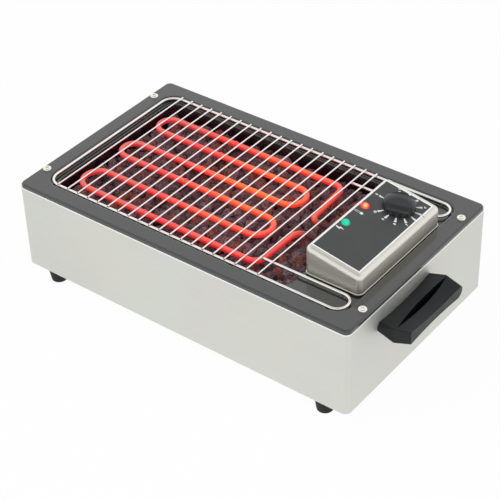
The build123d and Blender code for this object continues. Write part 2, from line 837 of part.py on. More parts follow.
def thermostat_body():
    """Regulator hung under the panel by its threaded neck."""
    body = Box(thermostat_width, thermostat_width, thermostat_height,
               align=(Align.CENTER, Align.CENTER, Align.MAX))
    body = fillet(body.edges().filter_by(Axis.Z), thermostat_corner_radius)
    body = Pos(0, 0, -box_wall) * body
    body += Pos(0, 0, -box_wall) * Cylinder(neck_radius, box_wall + neck_rise, align=BOTTOM)
    bore = Cylinder(shaft_radius + running_clearance, 2 * (shaft_below + neck_rise),
                    align=BOTTOM)
    bore = Pos(0, 0, -shaft_below - shaft_end_gap) * bore
    return panel_plane(dial_x, dial_y) * (body - bore)


def thermostat_nut():
    """Nut that clamps the thermostat's neck to the panel."""
    nut = hexagon(thermostat_nut_flats, thermostat_nut_height)
    nut -= Cylinder(neck_radius + running_clearance, 4 * thermostat_nut_height)
    return panel_plane(dial_x, dial_y) * Pos(0, 0, label_thickness) * nut


def thermostat_shaft():
    """Round spindle that turns with the knob."""
    shaft = Cylinder(shaft_radius, shaft_below + shaft_above, align=BOTTOM)
    return panel_plane(dial_x, dial_y) * Pos(0, 0, -shaft_below) * shaft


def control_knob():
    """Domed round knob with a scoop on each side, which leaves a bar across its middle."""
    knob = Cone(knob_bottom_radius, knob_top_radius, knob_height, align=BOTTOM)
    knob &= Pos(0, 0, knob_height - knob_dome_radius) * Sphere(knob_dome_radius)
    scoop_z = knob_skirt_height + knob_scoop_radius
    scoop_reach = math.sqrt(knob_scoop_radius ** 2 - (knob_height - scoop_z) ** 2)
    for side in (-1, 1):
        scoop = Rot(0, 90, 0) * Cylinder(knob_scoop_radius, 4 * knob_bottom_radius)
        knob -= Pos(0, side * (knob_bar_half_width + scoop_reach), scoop_z) * scoop
    knob -= Cylinder(knob_hollow_radius, 2 * knob_hollow_depth)
    bore_top = shaft_above + shaft_end_gap - label_thickness - knob_gap
    knob -= Cylinder(shaft_radius + running_clearance, 2 * bore_top)
    knob = Pos(0, 0, label_thickness + knob_gap) * Rot(0, 0, knob_angle) * knob
    return panel_plane(dial_x, dial_y) * knob


def bulb_middle():
    """Middle of the sensor bulb, which lies against the outside of the well."""
    start = lead_hole_place()[1] + capillary_tail
    return well_right + pan_wall + bulb_radius, start + bulb_length / 2, bulb_z


def sensor_bulb():
    """Bulb of the thermostat against the outside of the well."""
    return Pos(*bulb_middle()) * Rot(90, 0, 0) * Cylinder(bulb_radius, bulb_length)


def capillary_tube():
    """Thin tube from the thermostat down to its bulb."""
    start = panel_plane(dial_x, dial_y) * Pos(0, -thermostat_width / 2, -thermostat_height / 2)
    origin = start.position
    hole_y = lead_hole_place()[1]
    bulb_x, bulb_y, height = bulb_middle()
    points = [(origin.X, origin.Y, origin.Z), (origin.X, hole_y, origin.Z),
              (origin.X, hole_y, height), (bulb_x, hole_y, height),
              (bulb_x, bulb_y - bulb_length / 2, height)]
    return tube(points, capillary_bend, capillary_radius)


def bulb_clip():
    """Spring clip over the bulb, with an ear above and below on the well's wall."""
    outer = bulb_radius + running_clearance + bulb_clip_wall
    inner = bulb_radius + running_clearance
    arch = Circle(outer) + Pos(-bulb_radius / 2, 0) * Rectangle(bulb_radius, 2 * outer)
    room = Circle(inner) + Pos(-bulb_radius, 0) * Rectangle(2 * bulb_radius, 2 * inner)
    ears = Pos(bulb_clip_wall / 2 - bulb_radius, 0)
    ears *= Rectangle(bulb_clip_wall, 2 * (outer + bulb_clip_ear))
    keep = Pos(outer, 0) * Rectangle(2 * (outer + bulb_radius), 4 * (outer + bulb_clip_ear))
    profile = (arch + ears - room) & keep
    clip = extrude(Plane.XZ * profile, bulb_clip_width / 2, both=True)
    return Pos(*bulb_middle()) * clip


def block_screw_places():
    """Places of the terminal block's two screws."""
    return [(block_x - block_length / 4, block_y), (block_x + block_length / 4, block_y)]


def terminal_block():
    """Moulded block where the mains leads meet the inner wiring."""
    body = Box(block_length, block_width, block_height, align=BOTTOM)
    body = fillet(body.edges().filter_by(Axis.Z), block_corner_radius)
    body = Pos(block_x, block_y, base_plate_top) * body
    top = base_plate_top + block_height
    for index in range(wire_pocket_count):
        x = block_x + (index - (wire_pocket_count - 1) / 2) * block_length / wire_pocket_count
        for side in (-1, 1):
            body -= post(x, block_y + side * wire_pocket_offset, top - wire_pocket_depth,
                         top + 1, wire_pocket_radius)
    for x, y in block_screw_places():
        body -= post(x, y, casing_bottom, top + 1, block_screw_radius + running_clearance)
        body -= post(x, y, top - block_screw_sink, top + 1,
                     block_screw_head_radius + hole_clearance)
    return body


def terminal_block_screw(x, y):
    """Screw that holds the terminal block to the base plate."""
    screw = pan_head_screw(block_screw_radius, block_height, block_screw_head_radius,
                           block_screw_head_height)
    return Pos(x, y, base_plate_top + block_height - block_screw_sink) * screw


def cable_gland():
    """Strain relief through the back of the casing, with a bore for a cord."""
    head = Cylinder(gland_head_radius, gland_head_length, align=BOTTOM)
    head = fillet(head.edges().group_by(Axis.Z)[-1], gland_head_round)
    head += hexagon(2 * gland_head_radius, gland_flange_length)
    thread = Cylinder(gland_thread_radius, gland_thread_length,
                      align=(Align.CENTER, Align.CENTER, Align.MAX))
    gland = head + thread
    gland -= Cylinder(gland_bore_radius, 4 * gland_head_length)
    return Pos(gland_x, casing_half_depth, gland_z) * Rot(-90, 0, 0) * gland


def gland_nut():
    """Nut behind the casing's wall."""
    nut = hexagon(gland_nut_flats, gland_nut_thickness)
    nut -= Cylinder(gland_thread_radius + running_clearance, 4 * gland_nut_thickness)
    return Pos(gland_x, casing_half_depth - casing_wall, gland_z) * Rot(90, 0, 0) * nut


def heat_shield():
    """Bent sheet that keeps the heat of the well off the base plate."""
    left = well_left + shield_margin
    right = well_right - shield_margin
    top = well_floor_z - pan_wall - shield_gap
    height = top - base_plate_top
    middle = (left + right) / 2
    sheet = Box(right - left, 2 * shield_half_depth, shield_thickness,
                align=(Align.CENTER, Align.CENTER, Align.MAX))
    sheet = Pos(middle, 0, top) * sheet
    for side in (-1, 1):
        wall = Box(right - left, shield_thickness, height, align=BOTTOM)
        sheet += Pos(middle, side * (shield_half_depth - shield_thickness / 2),
                     base_plate_top) * wall
        tab = Box(right - left, shield_foot, shield_thickness, align=BOTTOM)
        sheet += Pos(middle, side * (shield_half_depth + shield_foot / 2 - shield_thickness),
                     base_plate_top) * tab
    return sheet


def corner_arc(y, z, along, across, radius):
    """Quarter round at one corner: it starts on the first side and ends on the second."""
    turn = radius * (1 - math.sqrt(0.5))
    (a_y, a_z), (b_y, b_z) = along, across
    return ThreePointArc((y + a_y * radius, z + a_z * radius),
                         (y + (a_y + b_y) * turn, z + (a_z + b_z) * turn),
                         (y + b_y * radius, z + b_z * radius))


def handle_section(out, sizes, rounds, dip, arch):
    """Upright cut through the handle, its top dipped and its underside arched."""
    front, back, front_bottom, back_bottom, front_top, back_top = sizes
    down, up, forward, backward = (0, -1), (0, 1), (-1, 0), (1, 0)
    front_upper = corner_arc(front, front_top, down, backward, rounds[0])
    back_upper = corner_arc(back, back_top, forward, down, rounds[1])
    back_lower = corner_arc(back, back_bottom, up, forward, rounds[2])
    front_lower = corner_arc(front, front_bottom, backward, up, rounds[3])
    middle = (front + back) / 2
    top = ThreePointArc(front_upper @ 1, (middle, (front_top + back_top) / 2 - dip),
                        back_upper @ 0)
    bottom = ThreePointArc(back_lower @ 1, (middle, (front_bottom + back_bottom) / 2 + arch),
                           front_lower @ 0)
    outline = front_upper + top + back_upper + Line(back_upper @ 1, back_lower @ 0)
    outline += back_lower + bottom + front_lower + Line(front_lower @ 1, front_upper @ 0)
    plane = Plane(origin=(casing_half_length + out, 0, casing_bottom), x_dir=(0, 1, 0),
                  z_dir=(1, 0, 0))
    return plane * make_face(outline)


def side_handle():
    """Moulded grip on the right-hand end, with a dipped back and a deep groove."""
    wall = handle_section(0, handle_wall_section, handle_wall_rounds, handle_wall_dip,
                          handle_slight_arch)
    crest = handle_section(handle_crest_out, handle_crest_section, handle_crest_rounds,
                           handle_crest_dip, handle_slight_arch)
    outer = handle_section(handle_reach, handle_outer_section, handle_outer_rounds,
                           handle_outer_dip, handle_outer_arch)
    grip = loft([wall, crest], ruled=True) + loft([crest, outer], ruled=True)
    front, back, _, _, top, _ = handle_crest_section
    groove_radius = (groove_length ** 2 / 4 + groove_width ** 2 / 4) / groove_width
    lens = Pos(groove_radius - groove_width / 2, 0) * Circle(groove_radius)
    lens &= Pos(groove_width / 2 - groove_radius, 0) * Circle(groove_radius)
    groove = extrude(lens, 4 * groove_depth)
    grip -= Pos(casing_half_length + groove_out, (front + back) / 2,
                casing_bottom + top - groove_depth) * groove
    for y, z in handle_screw_places():
        hole = Cylinder(handle_screw_radius + running_clearance, 2 * handle_screw_length)
        grip -= Pos(casing_half_length, y, z) * Rot(0, 90, 0) * hole
    return grip


def handle_screw(y, z):
    """Screw from inside the casing into the handle."""
    screw = pan_head_screw(handle_screw_radius, handle_screw_length,
                           handle_screw_head_radius, handle_screw_head_height)
    return Pos(casing_half_length - casing_wall, y, z) * Rot(0, -90, 0) * screw


os.makedirs("parts", exist_ok=True)

foot_names = ("front_left_foot", "front_right_foot", "rear_left_foot", "rear_right_foot")
foot_places = four_corners(foot_x, foot_y)
rim_places = four_corners(pan_screw_x, pan_screw_y)

write("casing_shell", casing_shell())
write("base_plate", base_plate())
for foot_name, (place_x, place_y) in zip(foot_names, foot_places):
    write(foot_name, foot(place_x, place_y))
write("foot_screws", *[foot_screw(x, y) for x, y in foot_places])
write("foot_nuts", *[foot_nut(x, y) for x, y in foot_places])
write("heat_shield", heat_shield())
write("enamel_pan", enamel_pan())
write("pan_brackets", *[pan_bracket(x, y) for x, y in rim_places])
write("pan_screws", *[pan_screw(x, y) for x, y in rim_places])
write("grate_frame", grate_frame())
write("grate_bars", *grate_bars())
write("lava_rocks", *lava_rocks())
write("heating_element", heating_element())
write("element_strap", element_strap())
write("element_clips", *[element_clip(y) for y in run_ys])
write("element_bushes", *[element_bush(y) for y in leg_ys])
write("element_rings", *[element_ring(y) for y in leg_ys])
write("control_box_base", control_box_base())
write("control_box_cover", control_box_cover())
write("control_box_screws", *[control_box_screw(x, y) for x, y in box_screw_places()])
write("control_label", control_label())
write("red_lamp_lens", lamp_lens(red_lamp_y))
write("green_lamp_lens", lamp_lens(green_lamp_y))
write("red_lamp_body", lamp_body(red_lamp_y))
write("green_lamp_body", lamp_body(green_lamp_y))
write("thermostat_body", thermostat_body())
write("thermostat_nut", thermostat_nut())
write("thermostat_shaft", thermostat_shaft())
write("control_knob", control_knob())
write("sensor_bulb", sensor_bulb())
write("capillary_tube", capillary_tube())
write("bulb_clip", bulb_clip())
write("terminal_block", terminal_block())
write("terminal_block_screws", *[terminal_block_screw(x, y) for x, y in block_screw_places()])
write("cable_gland", cable_gland())
write("gland_nut", gland_nut())
write("side_handle", side_handle())
write("handle_screws", *[handle_screw(y, z) for y, z in handle_screw_places()])
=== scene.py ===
# %% [markdown]
# Lava rock grill
#
# A table-top grill: satin steel casing, black enamelled pan, a bed of lava
# stones, a glowing element above them, a chrome grate that lifts off, and a
# steel control box with a label, two lamps and a round knob. The solids come
# in ready made and stay where they are. This script gives them their finish,
# and makes finer pieces where a finish alone isn't enough.

# %% Load the solids
import math
import bpy
import bmesh
from mathutils import Matrix, Quaternion, Vector


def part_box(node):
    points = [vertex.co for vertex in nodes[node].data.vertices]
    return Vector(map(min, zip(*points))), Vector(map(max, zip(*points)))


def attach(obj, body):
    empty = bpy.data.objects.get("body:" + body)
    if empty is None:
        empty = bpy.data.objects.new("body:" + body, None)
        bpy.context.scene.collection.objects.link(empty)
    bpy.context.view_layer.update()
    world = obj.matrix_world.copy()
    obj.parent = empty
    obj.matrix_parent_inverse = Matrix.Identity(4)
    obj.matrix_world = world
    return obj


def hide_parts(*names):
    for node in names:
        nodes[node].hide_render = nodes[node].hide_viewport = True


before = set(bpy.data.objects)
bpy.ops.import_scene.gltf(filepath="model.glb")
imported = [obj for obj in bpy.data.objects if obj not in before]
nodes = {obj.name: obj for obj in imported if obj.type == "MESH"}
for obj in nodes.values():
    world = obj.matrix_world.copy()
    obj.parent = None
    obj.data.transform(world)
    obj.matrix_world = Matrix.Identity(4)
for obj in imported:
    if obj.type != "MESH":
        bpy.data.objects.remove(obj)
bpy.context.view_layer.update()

MM = 0.001
casing_low, casing_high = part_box("casing_shell")
casing_middle = (casing_low + casing_high) / 2


def plan(x, y):
    """Place in plan, from millimetres to the right and back of the casing's middle."""
    return casing_middle.x + x * MM, casing_middle.y + y * MM


# %% [markdown]
# Colours are written as they look on a screen. Blender calculates in linear
# light, so one function turns each hex value into linear numbers. Linear
# numbers could be typed instead, but nobody can see a colour in them.

# %% Turn a screen colour into linear light
def linear(hex_colour):
    """Linear RGBA from an sRGB hex string."""
    channels = [int(hex_colour[i:i + 2], 16) / 255 for i in (1, 3, 5)]
    return tuple(c / 12.92 if c <= 0.04045 else ((c + 0.055) / 1.055) ** 2.4
                 for c in channels) + (1.0,)


print("mid grey:", [round(c, 3) for c in linear("#808080")])

# %% [markdown]
# Every finish and every repeated form below is a small graph of nodes. Such a
# graph can be drawn by hand in the editor. Here one helper adds a node, sets it
# up and links it, so that a graph reads from top to bottom like a recipe.

# %% Helpers for node graphs
NOISE_LOW = 0.3      # a noise seldom leaves this range
NOISE_HIGH = 0.7


def add(tree, kind, settings=None, inputs=None, stops=()):
    """Add one node. Inputs are values or sockets to link. Stops of (place, hex) fill a ramp."""
    node = tree.nodes.new(kind)
    for name, value in (settings or {}).items():
        setattr(node, name, value)
    for name, value in (inputs or {}).items():
        if isinstance(value, bpy.types.NodeSocket):
            tree.links.new(value, node.inputs[name])
        else:
            node.inputs[name].default_value = value
    for index, (place, colour) in enumerate(stops):
        if index >= len(node.color_ramp.elements):
            node.color_ramp.elements.new(1.0)
        node.color_ramp.elements[index].position = place
        node.color_ramp.elements[index].color = linear(colour)
    return node


def blank_finish(name):
    """New material, its empty tree and the place on the piece."""
    material = bpy.data.materials.new(name)
    material.use_nodes = True
    tree = material.node_tree
    tree.nodes.clear()
    return material, tree, add(tree, "ShaderNodeTexCoord").outputs["Object"]


def finished(material, shader):
    """Send a shader to the output of its material."""
    add(material.node_tree, "ShaderNodeOutputMaterial", inputs={"Surface": shader.outputs[0]})
    return material


print("helpers ready")

# %% [markdown]
# Satin stainless sheet. The casing is rolled sheet with a brushed grain along
# its length. A picture of brushed steel could be laid on it, but a noise needs
# no unwrapping and stays sharp from any distance. The grain is hair-fine, far
# below one pixel, so it is drawn coarser here: long thin noise that tips the
# surface and changes its gloss a little, which is what the eye reads as satin.
# Above a level along the folded top edge the sheet turns white: a painted highlight.

# %% Brushed steel
GRAIN_WIDTH = 0.6 * MM     # real grain is about 0.05 mm wide
GRAIN_LENGTH = 60 * MM
CLOUDS = 9.0               # soft blotches to a metre
HIGHLIGHT_STEP = 0.3 * MM     # height over which satin turns to the painted white highlight
HIGHLIGHT_DROP = 1.6 * MM     # how far the painted white highlight reaches down from the top
NO_HIGHLIGHT = 10.0           # a level above every piece


def brushed_steel(name, colour, roughness, along=(1, 0, 0), depth=0.04, edge=NO_HIGHLIGHT):
    """Stainless sheet with a grain along one axis, painted white above the level of its edge as a
    highlight.
    """
    material, tree, place = blank_finish(name)
    scale = [1 / (GRAIN_LENGTH if a else GRAIN_WIDTH) for a in along]
    stretched = add(tree, "ShaderNodeMapping", inputs={"Vector": place, "Scale": scale})
    grain = add(tree, "ShaderNodeTexNoise",
                inputs={"Vector": stretched.outputs["Vector"], "Scale": 1.0, "Detail": 3.0})
    cloud = add(tree, "ShaderNodeTexNoise", inputs={"Vector": place, "Scale": CLOUDS})
    gloss = add(tree, "ShaderNodeMapRange", inputs={
        "Value": grain.outputs["Fac"], "From Min": NOISE_LOW, "From Max": NOISE_HIGH,
        "To Min": roughness - 0.05, "To Max": roughness + 0.07}).outputs["Result"]
    tone = add(tree, "ShaderNodeMixRGB", {"blend_type": "MULTIPLY"},
               {"Fac": 0.06, "Color1": linear(colour), "Color2": cloud.outputs["Color"]})
    level = add(tree, "ShaderNodeSeparateXYZ", inputs={"Vector": place}).outputs["Z"]
    # painted highlight: above the edge level the colour turns white
    painted_highlight = add(tree, "ShaderNodeMapRange", inputs={
        "Value": level, "From Min": edge, "From Max": edge + HIGHLIGHT_STEP}).outputs["Result"]
    tone = add(tree, "ShaderNodeMixRGB", inputs={"Fac": painted_highlight, "Color1": tone.outputs["Color"],
                                                 "Color2": linear("#ffffff")})
    bump = add(tree, "ShaderNodeBump", inputs={"Strength": depth, "Distance": 0.2 * MM,
                                               "Height": grain.outputs["Fac"]})
    shader = add(tree, "ShaderNodeBsdfPrincipled",
                 inputs={"Base Color": tone.outputs["Color"], "Metallic": 1.0,
                         "Roughness": gloss, "Normal": bump.outputs["Normal"]})
    return finished(material, shader)


# broad and even: a pale grey face with no clear reflection
casing_steel = brushed_steel("satin stainless steel, casing", "#e0e1db", 0.6,
                             edge=casing_high.z - HIGHLIGHT_DROP)
# a little shinier and warmer, with soft bands round its bends
box_steel = brushed_steel("brushed stainless steel, control box", "#efede3", 0.46,
                          along=(0, 1, 0), depth=0.03)
# zinc on plain sheet: bluish, blotchy and dull
plate_steel = brushed_steel("galvanised steel sheet", "#b4b8ba", 0.5, depth=0.1)
# heat leaves a brown oxide film
tinted_steel = brushed_steel("heat-tinted steel strip", "#6e5d58", 0.45)
print("steel finishes ready")

# %% [markdown]
# Vitreous enamel is glass fused on pressed steel. It is hard, smooth and dark,
# with the faint ripple of a fired coat, the so-called orange peel, a few
# millimetres from crest to crest. The ripple could be modelled, but it is so
# shallow that a bump does it without one extra face. Glass over pigment is a
# plain non-metal, and a clear coat over it gives the sharp shine on top.

# %% Black enamel
WELL_SHADE_FADE = 8 * MM        # height over which the painted well shade fades in


def fired_enamel(name, colour, well_shade, well_shade_below, roughness):
    """Dark vitreous enamel with a faint ripple, with painted shade and a painted dark red glow
    reflection low in the well.
    """
    material, tree, place = blank_finish(name)
    ripple = add(tree, "ShaderNodeTexNoise",
                 inputs={"Vector": place, "Scale": 1 / (5 * MM), "Detail": 1.0})
    speck = add(tree, "ShaderNodeTexNoise",
                inputs={"Vector": place, "Scale": 1 / (0.8 * MM), "Detail": 2.0})
    level = add(tree, "ShaderNodeSeparateXYZ", inputs={"Vector": place}).outputs["Z"]
    # painted shade and painted red reflection: the colour turns dark red below the well's mouth
    depth = add(tree, "ShaderNodeMapRange", inputs={
        "Value": level, "From Min": well_shade_below - WELL_SHADE_FADE,
        "From Max": well_shade_below}).outputs["Result"]
    coat = add(tree, "ShaderNodeValToRGB", inputs={"Fac": depth},
               stops=((0.0, well_shade), (1.0, colour))).outputs["Color"]
    tone = add(tree, "ShaderNodeMixRGB", {"blend_type": "MULTIPLY"},
               {"Fac": 0.12, "Color1": coat, "Color2": speck.outputs["Color"]})
    bump = add(tree, "ShaderNodeBump", inputs={"Strength": 0.05, "Distance": 0.3 * MM,
                                               "Height": ripple.outputs["Fac"]})
    gloss = add(tree, "ShaderNodeMapRange", inputs={
        "Value": speck.outputs["Fac"], "From Min": NOISE_LOW, "From Max": NOISE_HIGH,
        "To Min": roughness - 0.04, "To Max": roughness + 0.05}).outputs["Result"]
    shader = add(tree, "ShaderNodeBsdfPrincipled",
                 inputs={"Base Color": tone.outputs["Color"], "Roughness": gloss,
                         "IOR": 1.55, "Coat Weight": 0.6, "Coat Roughness": 0.05,
                         "Normal": bump.outputs["Normal"]})
    return finished(material, shader)


WELL_MOUTH = 146 * MM      # above this level the enamel gets no painted shade
# near black with a sharp shine; low in the well, painted shade and a painted dark red reflection
# of the glow
enamel = fired_enamel("black vitreous enamel", "#323533", "#2a0d12", WELL_MOUTH, 0.15)
print("enamel ready")

# %% [markdown]
# Bright chrome plate on drawn wire. Chrome is nearly a mirror, and a perfect
# mirror would do for a new piece. What makes it look like wire is the drawing
# marks and a little haze, so the roughness stays low and varies with a noise.

# %% Chrome and plated screws
def plated(name, colour, roughness):
    """Plated metal, almost a mirror, with a little haze."""
    material, tree, place = blank_finish(name)
    haze = add(tree, "ShaderNodeTexNoise",
               inputs={"Vector": place, "Scale": 1 / (3 * MM), "Detail": 3.0})
    gloss = add(tree, "ShaderNodeMapRange", inputs={
        "Value": haze.outputs["Fac"], "From Min": 0.35, "From Max": NOISE_HIGH,
        "To Min": roughness * 0.7, "To Max": roughness * 1.4}).outputs["Result"]
    bump = add(tree, "ShaderNodeBump", inputs={"Strength": 0.03, "Distance": 0.1 * MM,
                                               "Height": haze.outputs["Fac"]})
    shader = add(tree, "ShaderNodeBsdfPrincipled",
                 inputs={"Base Color": linear(colour), "Metallic": 1.0, "Roughness": gloss,
                         "Normal": bump.outputs["Normal"]})
    return finished(material, shader)


chrome = plated("bright chrome plate on wire", "#f6f5f2", 0.14)       # cold and clear
nickel = plated("bright nickel plate, rim screws", "#f4f2ec", 0.22)   # warmer, hazier
zinc = plated("zinc plate, inner fasteners", "#b9bab8", 0.38)         # grey and satin
copper = plated("bare copper tube", "#c98a63", 0.35)                  # pinkish and satin
print("plated finishes ready")

# %% [markdown]
# Lava stone is frozen foam: dull, porous, purplish to rusty brown. Each stone
# has its own tone, so the colour starts from a number that is random for each
# separate stone. Carved pores would cost millions of faces. Two sizes of round
# pores and a noise draw them as a bump, and the mesh gives the broken outline.

# %% Lava stone
def lava_stone(name):
    """Porous volcanic stone with its own tone for each stone."""
    material, tree, place = blank_finish(name)
    stone = add(tree, "ShaderNodeNewGeometry").outputs["Random Per Island"]
    tone = add(tree, "ShaderNodeValToRGB", inputs={"Fac": stone}, stops=(
        (0.0, "#705c64"), (0.3, "#947d86"), (0.55, "#806a72"),
        (0.75, "#aa9097"), (0.88, "#a07068"), (1.0, "#b26a60"))).outputs["Color"]
    grime = add(tree, "ShaderNodeTexNoise",
                inputs={"Vector": place, "Scale": 1 / (6 * MM), "Detail": 6.0, "Roughness": 0.7})
    stain = add(tree, "ShaderNodeValToRGB", inputs={"Fac": grime.outputs["Fac"]},
                stops=((0.3, "#6a5d60"), (0.62, "#fff8f8")))
    stained = add(tree, "ShaderNodeMixRGB", {"blend_type": "MULTIPLY"},
                  {"Fac": 0.75, "Color1": tone, "Color2": stain.outputs["Color"]})
    pores = add(tree, "ShaderNodeTexVoronoi", inputs={"Vector": place, "Scale": 1 / (2.6 * MM)})
    pits = add(tree, "ShaderNodeTexVoronoi", inputs={"Vector": place, "Scale": 1 / (1.1 * MM)})
    hollow = add(tree, "ShaderNodeMapRange", inputs={
        "Value": pores.outputs["Distance"], "From Min": 0.1,
        "From Max": 0.5}).outputs["Result"]
    height = add(tree, "ShaderNodeMath", {"operation": "MULTIPLY_ADD"},
                 {0: pits.outputs["Distance"], 1: 0.5, 2: hollow})
    height = add(tree, "ShaderNodeMath", {"operation": "ADD"},
                 {0: height.outputs[0], 1: grime.outputs["Fac"]})
    bump = add(tree, "ShaderNodeBump", inputs={"Strength": 1.0, "Distance": 1.8 * MM,
                                               "Height": height.outputs[0]})
    # painted shade: the colour darkens inside the pores, where shade falls
    pit_shade = add(tree, "ShaderNodeValToRGB", inputs={"Fac": pores.outputs["Distance"]},
                    stops=((0.08, "#3c3234"), (0.4, "#ffffff")))
    shaded_pits = add(tree, "ShaderNodeMixRGB", {"blend_type": "MULTIPLY"},
                    {"Fac": 0.7, "Color1": stained.outputs["Color"],
                     "Color2": pit_shade.outputs["Color"]})
    shader = add(tree, "ShaderNodeBsdfPrincipled",
                 inputs={"Base Color": shaded_pits.outputs["Color"], "Roughness": 0.92,
                         "Specular IOR Level": 0.3, "Normal": bump.outputs["Normal"]})
    return finished(material, shader)


# dull and full of holes: it drinks the light and shows no shine
lava = lava_stone("porous lava stone")
print("lava ready")

# %% [markdown]
# The heating element is a metal sheath at red heat. It is hottest over the
# middle of the bed, where it turns orange, cherry red further out, and it goes
# dark where its cold ends leave the pan. A lamp could light it, but a surface
# with its own glow shows the colour as it is seen, at any brightness. The glow
# follows the distance from the hot spot. The upper side, which faces the light,
# is painted paler as a painted highlight, and the under side a deeper red as
# painted shade.

# %% Glowing sheath
HOT_SPOT = plan(0, 20)
HOT_RADIUS = 170 * MM
HEAT_WANDER = 14 * MM           # how far the rings of heat stray
COLD_FROM = plan(92, 0)[0]      # the glow dies between these two places
COLD_TO = plan(108, 0)[0]


def red_heat(name):
    """Oxidised sheath whose glow dies away towards its cold ends."""
    material, tree, place = blank_finish(name)
    split = add(tree, "ShaderNodeSeparateXYZ", inputs={"Vector": place}).outputs
    flat = add(tree, "ShaderNodeCombineXYZ", inputs={"X": split["X"], "Y": split["Y"]})
    gap = add(tree, "ShaderNodeVectorMath", {"operation": "DISTANCE"},
              {0: flat.outputs["Vector"], 1: (HOT_SPOT[0], HOT_SPOT[1], 0)}).outputs["Value"]
    wander = add(tree, "ShaderNodeTexNoise",
                 inputs={"Vector": place, "Scale": 1 / (45 * MM), "Detail": 2.0})
    shift = add(tree, "ShaderNodeMapRange", inputs={
        "Value": wander.outputs["Fac"], "From Min": NOISE_LOW, "From Max": NOISE_HIGH,
        "To Min": -HEAT_WANDER, "To Max": HEAT_WANDER}).outputs["Result"]
    reach = add(tree, "ShaderNodeMath", {"operation": "ADD"}, {0: gap, 1: shift}).outputs[0]
    share = add(tree, "ShaderNodeMapRange",
                inputs={"Value": reach, "From Max": HOT_RADIUS}).outputs["Result"]
    upper = add(tree, "ShaderNodeValToRGB", inputs={"Fac": share}, stops=(
        (0.0, "#ff8034"), (0.4, "#ff6f46"), (0.65, "#ff6458"),
        (0.85, "#f85250"), (1.0, "#ec6a62"))).outputs["Color"]
    under = add(tree, "ShaderNodeValToRGB", inputs={"Fac": share}, stops=(
        (0.0, "#ff4a14"), (0.4, "#f4301a"), (0.65, "#e8221c"),
        (0.85, "#d6181c"), (1.0, "#cc2426"))).outputs["Color"]
    # painted highlight and painted shade: the upper side is paler, the under side deeper red, by
    # which way the surface faces
    facing = add(tree, "ShaderNodeNewGeometry").outputs["Normal"]
    upward = add(tree, "ShaderNodeSeparateXYZ", inputs={"Vector": facing}).outputs["Z"]
    painted_top_highlight = add(tree, "ShaderNodeMapRange", inputs={
        "Value": upward, "From Min": 0.2, "From Max": 0.95}).outputs["Result"]
    heat = add(tree, "ShaderNodeMixRGB", inputs={"Fac": painted_top_highlight, "Color1": under,
                                                 "Color2": upper})
    cold = add(tree, "ShaderNodeMapRange", inputs={
        "Value": split["X"], "From Min": COLD_FROM, "From Max": COLD_TO}).outputs["Result"]
    glow = add(tree, "ShaderNodeMixRGB", inputs={"Fac": cold, "Color1": heat.outputs["Color"],
                                                 "Color2": linear("#1c0a0b")})
    scale = add(tree, "ShaderNodeTexNoise",
                inputs={"Vector": place, "Scale": 1 / (2 * MM), "Detail": 4.0})
    bump = add(tree, "ShaderNodeBump", inputs={"Strength": 0.2, "Distance": 0.2 * MM,
                                               "Height": scale.outputs["Fac"]})
    shader = add(tree, "ShaderNodeBsdfPrincipled",
                 inputs={"Base Color": linear("#4a2422"), "Roughness": 0.5,
                         "Emission Color": glow.outputs["Color"], "Emission Strength": 0.95,
                         "Normal": bump.outputs["Normal"]})
    return finished(material, shader)


# orange in the middle, cherry further out, with a scaly skin
glowing_sheath = red_heat("metal sheath at red heat")
print("element finish ready")

# %% [markdown]
# Moulded black plastic and rubber. Phenolic and nylon parts come from an
# etched mould: a fine even texture that breaks the shine up. Rubber is duller,
# and its grain is softer. Each could be a graph of its own, but they differ
# only in colour, grain and shine, so one recipe makes them all.

# %% Plastics and rubber
def moulded(name, colour, roughness, grain, depth, specular=0.5):
    """Moulded plastic or rubber with an etched texture."""
    material, tree, place = blank_finish(name)
    etch = add(tree, "ShaderNodeTexNoise",
               inputs={"Vector": place, "Scale": 1 / grain, "Detail": 3.0})
    wear = add(tree, "ShaderNodeTexNoise",
               inputs={"Vector": place, "Scale": 1 / (25 * MM), "Detail": 3.0})
    gloss = add(tree, "ShaderNodeMapRange", inputs={
        "Value": wear.outputs["Fac"], "From Min": NOISE_LOW, "From Max": NOISE_HIGH,
        "To Min": roughness - 0.06, "To Max": roughness + 0.06}).outputs["Result"]
    tone = add(tree, "ShaderNodeMixRGB", {"blend_type": "MULTIPLY"},
               {"Fac": 0.15, "Color1": linear(colour), "Color2": etch.outputs["Color"]})
    bump = add(tree, "ShaderNodeBump", inputs={"Strength": depth, "Distance": 0.15 * MM,
                                               "Height": etch.outputs["Fac"]})
    shader = add(tree, "ShaderNodeBsdfPrincipled",
                 inputs={"Base Color": tone.outputs["Color"], "Roughness": gloss,
                         "Specular IOR Level": specular, "Normal": bump.outputs["Normal"]})
    return finished(material, shader)


# hard and polished, with a soft highlight
knob_plastic = moulded("black phenolic, knob", "#2c2f30", 0.26, 0.5 * MM, 0.08)
# glass fibre at the skin takes part of the shine
handle_plastic = moulded("black glass-filled nylon, handle", "#14171a", 0.42,
                         0.6 * MM, 0.15, 0.3)
# plain nylon: an even half shine
gland_plastic = moulded("black nylon, gland", "#232425", 0.45, 0.6 * MM, 0.2)
# nearly matt, with a soft grain
rubber = moulded("black rubber, feet", "#262728", 0.7, 0.9 * MM, 0.4, 0.3)
# cream and a little waxy
pale_plastic = moulded("cream heat-resistant plastic", "#d6d1c2", 0.5, 0.6 * MM, 0.15)
print("plastics ready")

# %% [markdown]
# The label is a thin plate with a screen-printed dark grey ground. Its ink is
# matt, with a very fine tooth, and the white marks are a second coat of ink. A
# frame of pure white metal all round the print is a painted highlight. One
# picture could hold all three, but three finishes on real shapes keep their
# edges sharp.

# %% Label and its ink
INK_TOOTH = 0.35 * MM      # real ink is ten times finer
